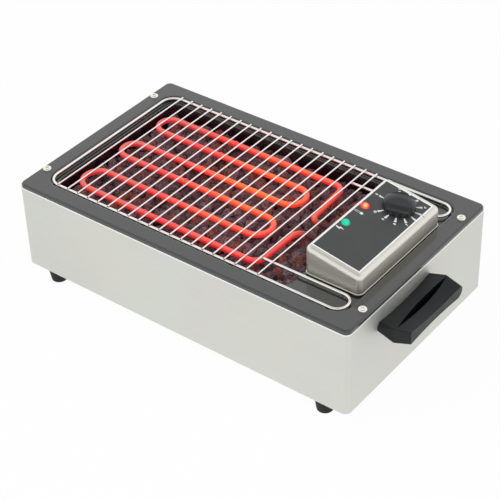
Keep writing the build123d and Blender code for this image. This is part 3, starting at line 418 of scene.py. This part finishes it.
# dark and even, with hardly any shine
label_ground = moulded("dark grey screen-printed plate", "#414644", 0.42, INK_TOOTH, 0.08)
# nearly white and smooth, so it mirrors the room: a painted highlight round the print
highlight_frame_metal = brushed_steel("white frame round the label, painted highlight", "#ffffff", 0.22,
                             (0, 1, 0), 0.01)
# thick, flat and opaque
white_ink = moulded("white screen ink", "#fcfdfc", 0.5, INK_TOOTH, 0.03)
print("label finishes ready")

# %% [markdown]
# The lamps are small domed lenses with a bulb behind. The red one shows its
# bulb as a yellow core in a red dome. The green one glows evenly. Clear plastic
# over a modelled bulb would need many bounces of light for a dome that is
# thirteen millimetres wide, so the glow is part of the surface: rings of colour
# by the distance from the lamp's own axis. The panel that carries the lamps
# slopes, so their axis leans with it.

# %% Lamp lenses
TILT = math.radians(10)                     # slope of the panel
page_out = Vector((math.sin(TILT), 0, math.cos(TILT)))
BULB_OFFSET = (1.6 * MM, -2.0 * MM, 0)      # the bulbs sit off the middle
FACET = 2.2 * MM                            # the lens is moulded in small facets


def lit_lens(name, centre, radius, steps, strength):
    """Tinted lens lit from behind, from its middle outwards."""
    material, tree, place = blank_finish(name)
    bulb = centre + Vector(BULB_OFFSET)
    from_middle = add(tree, "ShaderNodeVectorMath", {"operation": "SUBTRACT"},
                      {0: place, 1: bulb}).outputs["Vector"]
    off_axis = add(tree, "ShaderNodeVectorMath", {"operation": "CROSS_PRODUCT"},
                   {0: from_middle, 1: page_out}).outputs["Vector"]
    gap = add(tree, "ShaderNodeVectorMath", {"operation": "LENGTH"},
              {0: off_axis}).outputs["Value"]
    share = add(tree, "ShaderNodeMapRange",
                inputs={"Value": gap, "From Max": radius}).outputs["Result"]
    rings = add(tree, "ShaderNodeValToRGB", inputs={"Fac": share}, stops=steps)
    facets = add(tree, "ShaderNodeTexVoronoi", inputs={"Vector": place, "Scale": 1 / FACET})
    bump = add(tree, "ShaderNodeBump", inputs={"Strength": 0.25, "Distance": 0.4 * MM,
                                               "Height": facets.outputs["Distance"]})
    shader = add(tree, "ShaderNodeBsdfPrincipled",
                 inputs={"Base Color": linear(steps[-1][1]), "Roughness": 0.3,
                         "Emission Color": rings.outputs["Color"],
                         "Emission Strength": strength, "Normal": bump.outputs["Normal"]})
    return finished(material, shader)


def middle_of(node):
    """Middle of the box round a solid."""
    low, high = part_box(node)
    return (low + high) / 2


LENS_RADIUS = 6.4 * MM
RED_RINGS = ((0.0, "#fff27a"), (0.3, "#ffc848"), (0.5, "#f07038"), (0.7, "#e02440"),
             (1.0, "#b81434"))
GREEN_RINGS = ((0.0, "#10ecc4"), (0.5, "#00dcae"), (0.8, "#00a880"), (1.0, "#005c44"))
# a yellow core in cherry red
red_glow = lit_lens("lit red lens", middle_of("red_lamp_lens"), LENS_RADIUS, RED_RINGS, 1.0)
# an even sea green, darker at its rim
green_glow = lit_lens("lit green lens", middle_of("green_lamp_lens"), LENS_RADIUS,
                      GREEN_RINGS, 0.85)
print("lens finishes ready")

# %% [markdown]
# Most solids are right as they come and only lack a finish. It could be painted
# face by face, but each solid is one material on the real object, so every slot
# of a solid takes the same finish.

# %% Give the solids their finishes
def dress(material, *names):
    """Put a finish on solids that keep their own shape."""
    for name in names:
        for slot in nodes[name].material_slots:
            slot.material = material


dress(casing_steel, "casing_shell")
dress(box_steel, "control_box_base", "control_box_cover")
dress(plate_steel, "base_plate", "heat_shield", "pan_brackets", "bulb_clip")
dress(tinted_steel, "element_strap", "element_bushes")
dress(enamel, "enamel_pan")
dress(chrome, "grate_frame", "grate_bars")
dress(nickel, "pan_screws")
dress(zinc, "foot_screws", "foot_nuts", "element_rings", "control_box_screws",
      "thermostat_nut", "thermostat_shaft", "terminal_block_screws", "handle_screws")
dress(copper, "sensor_bulb", "capillary_tube")
dress(lava, "lava_rocks")
dress(glowing_sheath, "heating_element", "element_clips")
dress(label_ground, "control_label")
dress(red_glow, "red_lamp_lens")
dress(green_glow, "green_lamp_lens")
dress(pale_plastic, "red_lamp_body", "green_lamp_body", "thermostat_body", "terminal_block")
dress(knob_plastic, "control_knob")
dress(handle_plastic, "side_handle")
dress(gland_plastic, "cable_gland", "gland_nut")
dress(rubber, "front_left_foot", "front_right_foot", "rear_left_foot", "rear_right_foot")
print("dressed", len(nodes), "solids")

# %% [markdown]
# Forms that follow a rule are grown by geometry nodes. Loops over vertices would
# do too, but a tree can be opened and tried with other sizes. The first helper
# puts an object in the scene, the next starts a tree with named inputs, and the
# last runs a tree on a small seed mesh and keeps the result as a plain mesh, so
# nothing is left live.

# %% Helpers for geometry trees
def in_scene(name, data):
    """New object that holds some data, linked to the scene."""
    thing = bpy.data.objects.new(name, data)
    bpy.context.scene.collection.objects.link(thing)
    return thing


def new_tree(name, sockets):
    """Geometry tree with named inputs: the tree, its inputs and its output."""
    tree = bpy.data.node_groups.new(name, "GeometryNodeTree")
    tree.interface.new_socket("Geometry", in_out="OUTPUT", socket_type="NodeSocketGeometry")
    tree.interface.new_socket("Geometry", in_out="INPUT", socket_type="NodeSocketGeometry")
    for label, kind in sockets:
        tree.interface.new_socket(label, in_out="INPUT", socket_type="NodeSocket" + kind)
    return tree, add(tree, "NodeGroupInput").outputs, add(tree, "NodeGroupOutput")


def end_tree(tree, shape, finish, end):
    """Make a tree's instances real, give them their finish and send them out."""
    whole = add(tree, "GeometryNodeRealizeInstances", inputs={"Geometry": shape})
    coat = add(tree, "GeometryNodeSetMaterial",
               inputs={"Geometry": whole.outputs["Geometry"], "Material": finish})
    tree.links.new(coat.outputs["Geometry"], end.inputs["Geometry"])
    print("tree", tree.name, "has", len(tree.nodes), "nodes")


def seed_mesh(name, points, edges=(), **measures):
    """Object that holds only points and edges, with any measure named for each point."""
    mesh = bpy.data.meshes.new(name)
    mesh.from_pydata(points, edges, [])
    for measure, values in measures.items():
        attribute = mesh.attributes.new(measure, "FLOAT", "POINT")
        attribute.data.foreach_set("value", values)
    return in_scene(name, mesh)


def grow(name, seed, tree, values, body):
    """Run a tree on a seed and keep the result as a plain mesh on a body."""
    modifier = seed.modifiers.new(name, "NODES")
    modifier.node_group = tree
    for item in tree.interface.items_tree:
        if item.in_out == "INPUT" and item.name in values:
            modifier[item.identifier] = values[item.name]
    graph = bpy.context.evaluated_depsgraph_get()
    mesh = bpy.data.meshes.new_from_object(seed.evaluated_get(graph))
    bpy.data.objects.remove(seed)
    piece = in_scene(name, mesh)
    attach(piece, body)
    print(name, len(mesh.polygons), "faces")
    return piece


# %% [markdown]
# Bent wire and tube. The real parts are bent from straight stock. A curve with
# handles could be drawn for each, but a row of corner points with a bend radius
# at each says it all. The tree rounds the corners, runs a circle along the line
# and closes the ends.

# %% Tree for bent wire and tube
BEND_STEPS = 14                      # pieces in one rounded corner
ROUND_SIDES = 20                     # sides of a wire's or a tube's section
SHARP = math.radians(60)             # edges sharper than this stay sharp
wire_tree, given, end = new_tree("bent wire", (
    ("Radius", "Float"), ("Sides", "Int"), ("Finish", "Material")))
line = add(wire_tree, "GeometryNodeMeshToCurve", inputs={"Mesh": given["Geometry"]})
bend = add(wire_tree, "GeometryNodeInputNamedAttribute", {"data_type": "FLOAT"},
           {"Name": "bend"})
rounded = add(wire_tree, "GeometryNodeFilletCurve", {"mode": "POLY"},
              {"Curve": line.outputs["Curve"], "Count": BEND_STEPS,
               "Radius": bend.outputs["Attribute"], "Limit Radius": True})
ring = add(wire_tree, "GeometryNodeCurvePrimitiveCircle",
           inputs={"Resolution": given["Sides"], "Radius": given["Radius"]})
skin = add(wire_tree, "GeometryNodeCurveToMesh",
           inputs={"Curve": rounded.outputs["Curve"], "Profile Curve": ring.outputs["Curve"],
                   "Fill Caps": True})
smooth = add(wire_tree, "GeometryNodeSetShadeSmooth", inputs={"Geometry": skin.outputs["Mesh"]})
end_tree(wire_tree, smooth.outputs["Geometry"], given["Finish"], end)

# %% Bend one wire or tube
def bent(name, corners, bends, radius, finish, body):
    """Wire or tube along corner points, with a bend radius at each."""
    edges = [(i, i + 1) for i in range(len(corners) - 1)]
    seed = seed_mesh(name + " line", corners, edges, bend=bends)
    sizes = {"Radius": radius, "Sides": ROUND_SIDES, "Finish": finish}
    piece = grow(name, seed, wire_tree, sizes, body)
    piece.data.set_sharp_from_angle(angle=SHARP)
    return piece


print("bender ready")

# %% Glowing element, bent from one tube
low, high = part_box("heating_element")
ELEMENT_RADIUS = (high.z - low.z) / 2
element_z = (low.z + high.z) / 2
# in millimetres from the casing's middle
RUN_YS = (98.5, 64.0, 22.5, -13.5, -57.0, -100.5)      # six long runs
LEG_YS = (14.0, -16.0)                                 # two legs into the box
HAIRPIN_LEFTS = (-220.0, -223.0, -220.0)               # ends of the left hairpins
TURN_RIGHTS = (59.0, 62.0)                             # ends of the right ones
REAR_BAR = (91.0, 85.5)                                # cross bars, not quite square
FRONT_BAR = (89.5, 92.0)
ELEMENT_END = 172.0
ELEMENT_BEND = 14.0
HAIRPIN_TRIM = 0.1      # keeps a hairpin's two bends from meeting in one point
turns = [(ELEMENT_END, LEG_YS[0]), (REAR_BAR[0], LEG_YS[0]), (REAR_BAR[1], RUN_YS[0])]
turn_bends = [0.0, ELEMENT_BEND, ELEMENT_BEND]
for index, (upper_y, lower_y) in enumerate(zip(RUN_YS, RUN_YS[1:])):
    side = (HAIRPIN_LEFTS if index % 2 == 0 else TURN_RIGHTS)[index // 2]
    turns += [(side, upper_y), (side, lower_y)]
    turn_bends += [(upper_y - lower_y) / 2 - HAIRPIN_TRIM] * 2
turns += [(FRONT_BAR[0], RUN_YS[-1]), (FRONT_BAR[1], LEG_YS[1]), (ELEMENT_END, LEG_YS[1])]
turn_bends += [ELEMENT_BEND, ELEMENT_BEND, 0.0]
element_line = [(*plan(x, y), element_z) for x, y in turns]
element = bent("glowing_element", element_line, [radius * MM for radius in turn_bends],
               ELEMENT_RADIUS, glowing_sheath, "casing")
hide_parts("heating_element")

# %% Frame wire of the grate
low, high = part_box("grate_frame")
WIRE_RADIUS = (high.z - low.z) / 2
wire_z = (low.z + high.z) / 2
FRAME_Y = high.y - WIRE_RADIUS - casing_middle.y
FRAME_LEFT = low.x + WIRE_RADIUS
FRAME_RIGHT = high.x - WIRE_RADIUS
LOOP_Y = 100 * MM              # inner side of each loop
TAIL_X = plan(95, 0)[0]        # where the wire ends after its loop
CORNER_BEND = 19.5 * MM
LOOP_BEND = (FRAME_Y - LOOP_Y) / 2 - HAIRPIN_TRIM * MM
half_frame = [(TAIL_X, LOOP_Y), (FRAME_RIGHT, LOOP_Y), (FRAME_RIGHT, FRAME_Y),
              (FRAME_LEFT, FRAME_Y)]
frame_line = half_frame + [(x, -y) for x, y in reversed(half_frame)]
frame_corners = [(x, casing_middle.y + y) for x, y in frame_line]
half_bends = [0.0, LOOP_BEND, LOOP_BEND, CORNER_BEND]
grate_wire = bent("grate_frame_wire", [(x, y, wire_z) for x, y in frame_corners],
                  half_bends + half_bends[::-1], WIRE_RADIUS, chrome, "grate")
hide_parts("grate_frame")

# %% [markdown]
# The cooking bars are straight cut wires, spot-welded across the frame. An array
# of cylinders would be a quick way. Here one bar is a line of four points,
# thinner at its two cut ends, and the tree gives it a round section, repeats it
# along the grate and plates it in one go.

# %% Tree for a row of bars
BAR_SIDES = 14
bar_tree, given, end = new_tree("row of bars", (
    ("Count", "Int"), ("Pitch", "Float"), ("Radius", "Float"), ("Finish", "Material")))
axis = add(bar_tree, "GeometryNodeMeshToCurve", inputs={"Mesh": given["Geometry"]})
width = add(bar_tree, "GeometryNodeInputNamedAttribute", {"data_type": "FLOAT"},
            {"Name": "width"})
sized = add(bar_tree, "GeometryNodeSetCurveRadius",
            inputs={"Curve": axis.outputs["Curve"], "Radius": width.outputs["Attribute"]})
ring = add(bar_tree, "GeometryNodeCurvePrimitiveCircle",
           inputs={"Resolution": BAR_SIDES, "Radius": given["Radius"]})
bar = add(bar_tree, "GeometryNodeCurveToMesh",
          inputs={"Curve": sized.outputs["Curve"], "Profile Curve": ring.outputs["Curve"],
                  "Fill Caps": True})
step = add(bar_tree, "ShaderNodeCombineXYZ", inputs={"X": given["Pitch"]}).outputs["Vector"]
row = add(bar_tree, "GeometryNodeMeshLine", inputs={"Count": given["Count"], "Offset": step})
bars = add(bar_tree, "GeometryNodeInstanceOnPoints",
           inputs={"Points": row.outputs["Mesh"], "Instance": bar.outputs["Mesh"]})
smooth = add(bar_tree, "GeometryNodeSetShadeSmooth",
             inputs={"Geometry": bars.outputs["Instances"]})
end_tree(bar_tree, smooth.outputs["Geometry"], given["Finish"], end)

# %% Cooking bars
BAR_COUNT = 20
CUT_ROUND = 0.5 * MM      # length of the broken edge at a cut end
CUT_WIDTH = 0.7           # share of the wire's width left at the cut
low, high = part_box("grate_bars")
BAR_RADIUS = (high.z - low.z) / 2
bar_x = low.x + BAR_RADIUS
bar_z = (low.z + high.z) / 2
bar_line = [(bar_x, y, bar_z) for y in (high.y, high.y - CUT_ROUND, low.y + CUT_ROUND, low.y)]
bar_seed = seed_mesh("bar line", bar_line, [(0, 1), (1, 2), (2, 3)],
                     width=[CUT_WIDTH, 1.0, 1.0, CUT_WIDTH])
cooking_bars = grow("cooking_bars", bar_seed, bar_tree, {
    "Count": BAR_COUNT, "Pitch": (high.x - BAR_RADIUS - bar_x) / (BAR_COUNT - 1),
    "Radius": BAR_RADIUS, "Finish": chrome}, "grate")
cooking_bars.data.set_sharp_from_angle(angle=SHARP)
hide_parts("grate_bars")

# %% [markdown]
# The stones. Broken lava has flat broken faces and sharp corners, no two alike.
# They could be poured in by a simulation, which takes minutes and is hard to
# repeat. The tree instead lays points on a loose grid, puts a coarse ball on
# each with its own turn and stretch, and pushes the corners about with a cell
# pattern that reads the place in the bed, so every stone comes out different.
# Points near the element lie lower, so that no stone touches it.

# %% Tree for a layer of stones: places in the bed
BED_ROLL = 2 * MM         # how far stones stray up and down
NEAR_TUBE = 18 * MM       # stones lie lowest within this of the element
CLEAR_OF_TUBE = 27 * MM   # and at their own level beyond this
stone_tree, given, end = new_tree("layer of stones", (
    ("Width", "Float"), ("Depth", "Float"), ("Columns", "Int"), ("Rows", "Int"),
    ("Middle", "Vector"), ("Size", "Float"), ("Scatter", "Float"), ("Drop", "Float"),
    ("Seed", "Int"), ("Element", "Object"), ("Finish", "Material")))
grid = add(stone_tree, "GeometryNodeMeshGrid",
           inputs={"Size X": given["Width"], "Size Y": given["Depth"],
                   "Vertices X": given["Columns"], "Vertices Y": given["Rows"]})
wide = add(stone_tree, "ShaderNodeCombineXYZ",
           inputs={"X": given["Scatter"], "Y": given["Scatter"],
                   "Z": BED_ROLL}).outputs["Vector"]
back = add(stone_tree, "ShaderNodeVectorMath", {"operation": "SCALE"},
           {0: wide, "Scale": -1.0}).outputs["Vector"]
stray = add(stone_tree, "FunctionNodeRandomValue", {"data_type": "FLOAT_VECTOR"},
            {"Min": back, "Max": wide, "Seed": given["Seed"]})
away = add(stone_tree, "ShaderNodeVectorMath", {"operation": "ADD"},
           {0: stray.outputs["Value"], 1: given["Middle"]}).outputs["Vector"]
loose = add(stone_tree, "GeometryNodeSetPosition",
            inputs={"Geometry": grid.outputs["Mesh"], "Offset": away})
tube = add(stone_tree, "GeometryNodeObjectInfo", inputs={"Object": given["Element"]})
near = add(stone_tree, "GeometryNodeProximity", {"target_element": "EDGES"},
           {"Geometry": tube.outputs["Geometry"]}).outputs["Distance"]
lower = add(stone_tree, "ShaderNodeMapRange",
            inputs={"Value": near, "From Min": NEAR_TUBE, "From Max": CLEAR_OF_TUBE,
                    "To Min": given["Drop"], "To Max": 0.0}).outputs["Result"]
down = add(stone_tree, "ShaderNodeCombineXYZ", inputs={"Z": lower}).outputs["Vector"]
settled = add(stone_tree, "GeometryNodeSetPosition",
              inputs={"Geometry": loose.outputs["Geometry"], "Offset": down})
print("stones get their places")

# %% Tree for a layer of stones: one stone, turned, stretched and broken
ANY_TURN = (6.28, 6.28, 6.28)
SLIMMEST = (0.72, 0.62, 0.6)
FATTEST = (1.25, 1.1, 1.0)
KNOCKS_PER_METRE = 125.0    # one flat break every 8 mm
KNOCK_DEPTH = 4.5 * MM
ball = add(stone_tree, "GeometryNodeMeshIcoSphere", inputs={"Radius": 1.0, "Subdivisions": 2})
turn = add(stone_tree, "FunctionNodeRandomValue", {"data_type": "FLOAT_VECTOR"},
           {"Min": (0, 0, 0), "Max": ANY_TURN, "Seed": given["Seed"]})
stretch = add(stone_tree, "FunctionNodeRandomValue", {"data_type": "FLOAT_VECTOR"},
              {"Min": SLIMMEST, "Max": FATTEST, "Seed": given["Seed"]})
sizes = add(stone_tree, "ShaderNodeVectorMath", {"operation": "SCALE"},
            {0: stretch.outputs["Value"], "Scale": given["Size"]})
stones = add(stone_tree, "GeometryNodeInstanceOnPoints",
             inputs={"Points": settled.outputs["Geometry"], "Instance": ball.outputs["Mesh"],
                     "Rotation": turn.outputs["Value"], "Scale": sizes.outputs["Vector"]})
whole = add(stone_tree, "GeometryNodeRealizeInstances",
            inputs={"Geometry": stones.outputs["Instances"]})
chips = add(stone_tree, "ShaderNodeTexVoronoi", inputs={"Scale": KNOCKS_PER_METRE})
knocks = add(stone_tree, "ShaderNodeVectorMath", {"operation": "SUBTRACT"},
             {0: chips.outputs["Color"], 1: (0.5, 0.5, 0.5)})
knock_size = add(stone_tree, "ShaderNodeVectorMath", {"operation": "SCALE"},
                 {0: knocks.outputs["Vector"], "Scale": KNOCK_DEPTH})
broken = add(stone_tree, "GeometryNodeSetPosition",
             inputs={"Geometry": whole.outputs["Geometry"],
                     "Offset": knock_size.outputs["Vector"]})
end_tree(stone_tree, broken.outputs["Geometry"], given["Finish"], end)

# %% Two layers of stones in the well
WELL_LEFT = -235 * MM       # sides of the well
WELL_RIGHT = 153.5 * MM
WELL_HALF = 125 * MM
EDGE_ROOM = 12 * MM         # between them and the first stones
well_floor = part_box("lava_rocks")[0].z
layers = (
    # name, stones along, stones across, height above the floor, size, scatter, drop, seed
    ("upper_lava_stones", 28, 19, 35.0 * MM, 10.4 * MM, 5.0 * MM, -5.0 * MM, 11),
    ("lower_lava_stones", 17, 11, 15.0 * MM, 16.0 * MM, 4.0 * MM, 0.0, 5),
)
path_seed = seed_mesh("element path", element_line,
                      [(i, i + 1) for i in range(len(element_line) - 1)])
for name, columns, rows, level, size, scatter, drop, chance in layers:
    layer = grow(name, seed_mesh(name + " seed", [(0, 0, 0)]), stone_tree, {
        "Width": WELL_RIGHT - WELL_LEFT - 2 * EDGE_ROOM, "Depth": 2 * (WELL_HALF - EDGE_ROOM),
        "Columns": columns, "Rows": rows, "Size": size, "Scatter": scatter, "Drop": drop,
        "Middle": (casing_middle.x + (WELL_LEFT + WELL_RIGHT) / 2, casing_middle.y,
                   well_floor + level), "Seed": chance,
        "Element": path_seed, "Finish": lava}, "casing")
    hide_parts("lava_rocks")
bpy.data.objects.remove(path_seed)

# %% [markdown]
# The printed dial. Marks are a hair of ink on the label. A painted texture would
# blur so close up, so they are flat shapes lifted a few hundredths of a
# millimetre. All are drawn on a page whose right is the casing's back and whose
# top is uphill on the sloping panel, the way a cook standing at the right-hand
# end reads them.

# %% The page of the label
DIAL_PLACE = plan(202.5, 51.5)
INK_RISE = 0.04 * MM
page_right = Vector((0, 1, 0))
page_up = Vector((-math.cos(TILT), 0, math.sin(TILT)))
LABEL_THICKNESS = 0.5 * MM
label_low, label_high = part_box("control_label")
label_corner = Vector((label_low.x + LABEL_THICKNESS * math.sin(TILT), 0, label_high.z))


def on_label(x, y):
    """Point on the label's face below a place in plan."""
    return Vector((x, y, label_corner.z - (x - label_corner.x) * math.tan(TILT)))


def page_at(x, y):
    """Matrix that lays a flat drawing on the label."""
    columns = (page_right, page_up, page_out, on_label(x, y) + page_out * INK_RISE)
    return Matrix([[column[i] for column in columns] for i in range(3)] + [[0, 0, 0, 1]])


print("dial at", [round(v, 4) for v in on_label(*DIAL_PLACE)])

# %% Helpers for ink
LETTER_BODY = 1.38           # size of the letters over the height of a digit
STROKE_SWELL = 0.3 * MM      # ink spreads and makes the strokes bolder
ink = bmesh.new()


def draw(corners, matrix):
    """One flat inked shape on the page."""
    ink.faces.new([ink.verts.new(matrix @ Vector((x, y, 0))) for x, y in corners])


def draw_digits(words, height, matrix):
    """Digits in Blender's own plain letters, centred."""
    curve = bpy.data.curves.new("digits", "FONT")
    curve.body = words
    curve.size = height * LETTER_BODY
    curve.align_x = "CENTER"
    curve.align_y = "CENTER"
    curve.offset = STROKE_SWELL
    writing = in_scene("digits", curve)
    graph = bpy.context.evaluated_depsgraph_get()
    mesh = bpy.data.meshes.new_from_object(writing.evaluated_get(graph))
    mesh.transform(matrix)
    ink.from_mesh(mesh)
    bpy.data.objects.remove(writing)
    bpy.data.meshes.remove(mesh)


print("ink ready")

# %% Draw the marks of the dial
TICK_INNER = 22.0 * MM       # distances from the dial's middle
TICK_OUTER = 30.6 * MM
DIGIT_RADIUS = 34.2 * MM
TICK_NARROW = 0.75 * MM      # half widths of a mark's two ends
TICK_WIDE = 1.8 * MM
DIGIT_HEIGHT = 3.5 * MM
FIRST_MARK = 122.0           # degrees round the dial
MARK_STEP = 26.8
dial = page_at(*DIAL_PLACE)
marks = [("0", 180.0)] + [(str(n + 1), FIRST_MARK - n * MARK_STEP) for n in range(10)]
for words, plan_angle in marks:
    turn = math.radians(plan_angle)
    outward = Vector((math.sin(turn), -math.cos(turn)))
    across = Vector((-outward.y, outward.x))
    draw([outward * TICK_INNER - across * TICK_NARROW, outward * TICK_OUTER - across * TICK_WIDE,
          outward * TICK_OUTER + across * TICK_WIDE, outward * TICK_INNER + across * TICK_NARROW],
         dial)
    spot = dial @ Matrix.Translation((outward * DIGIT_RADIUS).to_3d())
    draw_digits(words, DIGIT_HEIGHT, spot)
print("marks drawn:", len(marks))

# %% Draw the two signs beside the lamps
bolt = page_at(*plan(171, -34.5))
bolt_shapes = (((-1.2, 6.0), (1.3, 6.0), (0.4, 1.4), (-2.4, -0.6)),
               ((-2.4, -0.6), (0.4, 1.4), (2.6, 1.0), (-0.2, -0.9)),
               ((-0.2, -0.9), (2.6, 1.0), (0.6, -6.2)))
for shape in bolt_shapes:
    draw([(x * MM, y * MM) for x, y in shape], bolt)


def arc(middle_x, middle_y, radius, start, stop, count):
    """Points on an arc, in millimetres and degrees."""
    angles = [math.radians(start + (stop - start) * i / (count - 1)) for i in range(count)]
    return [(middle_x + radius * math.cos(a), middle_y + radius * math.sin(a)) for a in angles]


thermometer = page_at(*plan(171, 7))
STEM = 1.5
LINE = 0.6
outside = arc(0, 5.0, STEM, 0, 180, 9) + [(-STEM, -2.5), (STEM, -2.5)]
inside = arc(0, 5.0, STEM - LINE, 0, 180, 9) + [(LINE - STEM, -2.5), (STEM - LINE, -2.5)]
for i in range(len(outside)):
    if i == len(outside) - 2:
        continue
    j = (i + 1) % len(outside)
    draw([(x * MM, y * MM) for x, y in (outside[i], outside[j], inside[j], inside[i])],
         thermometer)
draw([(x * MM, y * MM) for x, y in arc(0, -4.2, 2.4, 0, 340, 18)], thermometer)
bmesh.ops.recalc_face_normals(ink, faces=ink.faces[:])
for face in ink.faces:
    if face.normal.dot(page_out) < 0:
        face.normal_flip()
ink_mesh = bpy.data.meshes.new("dial_print")
ink.to_mesh(ink_mesh)
ink.free()
ink_mesh.materials.append(white_ink)
dial_print = in_scene("dial_print", ink_mesh)
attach(dial_print, "casing")
print("ink faces:", len(ink_mesh.polygons))

# %% [markdown]
# Round the printed ground, the flat strip of the cover catches the light. It is
# drawn as a thin frame of pure white metal: a painted highlight. A bevel on the
# plate would catch the light only from one side. A thin flat frame laid round
# the ground looks bright from all sides.

# %% White frame round the print, a painted highlight
MARGIN = 2.1 * MM
margin_out = Vector((MARGIN * math.cos(TILT), MARGIN))
inner = [(label_low.x, label_low.y), (label_high.x, label_low.y),
         (label_high.x, label_high.y), (label_low.x, label_high.y)]
outer = [(label_low.x - margin_out.x, label_low.y - MARGIN),
         (label_high.x + margin_out.x, label_low.y - MARGIN),
         (label_high.x + margin_out.x, label_high.y + MARGIN),
         (label_low.x - margin_out.x, label_high.y + MARGIN)]
corners = [on_label(x, y) for x, y in inner + outer]
corners += [corner - page_out * 0.3 * MM for corner in corners]
bands = [(i, (i + 1) % 4, 4 + (i + 1) % 4, 4 + i) for i in range(4)]
bands = [band[::-1] for band in bands]
bands += [tuple(8 + i for i in band[::-1]) for band in bands]
bands += [(4 + i, 12 + i, 12 + (i + 1) % 4, 4 + (i + 1) % 4)[::-1] for i in range(4)]
margin_mesh = bpy.data.meshes.new("label_margin")
margin_mesh.from_pydata(corners, [], bands)
margin_mesh.materials.append(highlight_frame_metal)
label_margin = in_scene("label_margin", margin_mesh)
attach(label_margin, "casing")
print("margin faces:", len(margin_mesh.polygons), "first normal",
      [round(v, 2) for v in margin_mesh.polygons[0].normal])

# %% [markdown]
# Camera. The photograph is taken with a long lens from the front right, from
# above. It could be lined up by eye. Here its place was worked out from the
# edges of the casing, which run to three vanishing points.

# %% Camera
AZIMUTH = math.radians(38.456)
ELEVATION = math.radians(37.476)
ROLL = math.radians(-1.909)
DISTANCE = 2.117784
AIM = Vector((*plan(19.155, -25.263), 0.082745))
FOCAL_PIXELS = 1580.704
PICTURE_PIXELS = 500
away = Vector((math.sin(AZIMUTH) * math.cos(ELEVATION), -math.cos(AZIMUTH) * math.cos(ELEVATION),
               math.sin(ELEVATION)))
lens = bpy.data.cameras.new("camera")
lens.sensor_width = 36.0
lens.lens = lens.sensor_width * FOCAL_PIXELS / PICTURE_PIXELS
camera = in_scene("camera", lens)
camera.rotation_mode = "QUATERNION"
camera.location = AIM + away * DISTANCE
camera.rotation_quaternion = ((-away).to_track_quat("-Z", "Y")
                              @ Quaternion((0, 0, 1), ROLL))
bpy.context.scene.camera = camera
print("lens", round(lens.lens, 1), "mm")

# %% [markdown]
# Studio. A white sweep of paper, white walls under a grey ceiling and two large
# soft lamps, which shiny surfaces don't mirror. The ceiling is what gives shiny
# edges their dark line. Brighter lamps would also whiten the floor, but they
# would bleach the steel. So the floor is made to look white to the camera and
# to shiny metal, and it still takes a soft shadow.

# %% Floor
def seen_directly(tree):
    """One for rays from the camera and for mirror and glass rays, else nought."""
    path = add(tree, "ShaderNodeLightPath").outputs
    seen = add(tree, "ShaderNodeMath", {"operation": "MAXIMUM"},
               {0: path["Is Camera Ray"], 1: path["Is Glossy Ray"]}).outputs[0]
    return add(tree, "ShaderNodeMath", {"operation": "MAXIMUM"},
               {0: seen, 1: path["Is Transmission Ray"]}).outputs[0]


PAPER_GLOW = 0.965      # the rest of the paper takes light and shadow


def studio_floor():
    """Paper that looks white and keeps a faint shadow."""
    material, tree, _ = blank_finish("white studio paper")
    paper = add(tree, "ShaderNodeBsdfDiffuse", inputs={"Color": linear("#f4f4f3")})
    glow = add(tree, "ShaderNodeEmission", inputs={"Color": (1, 1, 1, 1), "Strength": 1.0})
    seen = add(tree, "ShaderNodeMapRange", inputs={
        "Value": seen_directly(tree), "To Max": PAPER_GLOW}).outputs["Result"]
    mix = add(tree, "ShaderNodeMixShader", inputs={0: seen, 1: paper.outputs[0],
                                                   2: glow.outputs[0]})
    return finished(material, mix)


FLOOR_HALF = 6.0
floor_mesh = bpy.data.meshes.new("floor")
floor_corners = [(x * FLOOR_HALF, y * FLOOR_HALF, 0)
                 for x, y in ((-1, -1), (1, -1), (1, 1), (-1, 1))]
floor_mesh.from_pydata(floor_corners, [], [(0, 1, 2, 3)])
floor_mesh.materials.append(studio_floor())
floor = in_scene("floor", floor_mesh)
print("floor ready")

# %% World and lamps
WALL_TOP = 0.77         # sine of the height at which the white walls end
CEILING_FROM = 0.96     # sine of the height from which all is ceiling
CEILING_LEVEL = 0.35    # its brightness in shiny surfaces
DULL_LEVEL = 0.55       # brightness of the room for dull surfaces
world = bpy.data.worlds.new("white room")
bpy.context.scene.world = world
world.use_nodes = True
room = world.node_tree
room.nodes.clear()
path = add(room, "ShaderNodeLightPath").outputs
direction = add(room, "ShaderNodeTexCoord").outputs["Generated"]
upward = add(room, "ShaderNodeSeparateXYZ", inputs={"Vector": direction}).outputs["Z"]
ceiling = add(room, "ShaderNodeMapRange", inputs={
    "Value": upward, "From Min": WALL_TOP, "From Max": CEILING_FROM,
    "To Min": 1.0, "To Max": CEILING_LEVEL}).outputs["Result"]
mirrored = add(room, "ShaderNodeMath", {"operation": "MAXIMUM"},
               {0: path["Is Glossy Ray"], 1: path["Is Transmission Ray"]}).outputs[0]
indoors = add(room, "ShaderNodeMix",
              inputs={0: mirrored, 2: DULL_LEVEL, 3: ceiling}).outputs[0]
level = add(room, "ShaderNodeMix",
            inputs={0: path["Is Camera Ray"], 2: indoors, 3: 1.0}).outputs[0]
sky = add(room, "ShaderNodeBackground", inputs={"Color": (1, 1, 1, 1), "Strength": level})
add(room, "ShaderNodeOutputWorld", inputs={"Surface": sky.outputs[0]})


def soft_lamp(name, place, target, size, watts):
    """Large square lamp aimed at a place."""
    light = bpy.data.lights.new(name, "AREA")
    light.size = size
    light.energy = watts
    lamp = in_scene(name, light)
    lamp.location = place
    lamp.visible_glossy = False
    lamp.rotation_mode = "QUATERNION"
    lamp.rotation_quaternion = (Vector(target) - Vector(place)).to_track_quat("-Z", "Y")


LIT_PLACE = (0, 0, 0.1)
soft_lamp("key", (-1.2, -1.8, 2.4), LIT_PLACE, 1.6, 31)
soft_lamp("fill", (2.2, -0.4, 1.6), LIT_PLACE, 1.4, 12)
bpy.context.scene.view_settings.view_transform = "Standard"
print("studio ready")
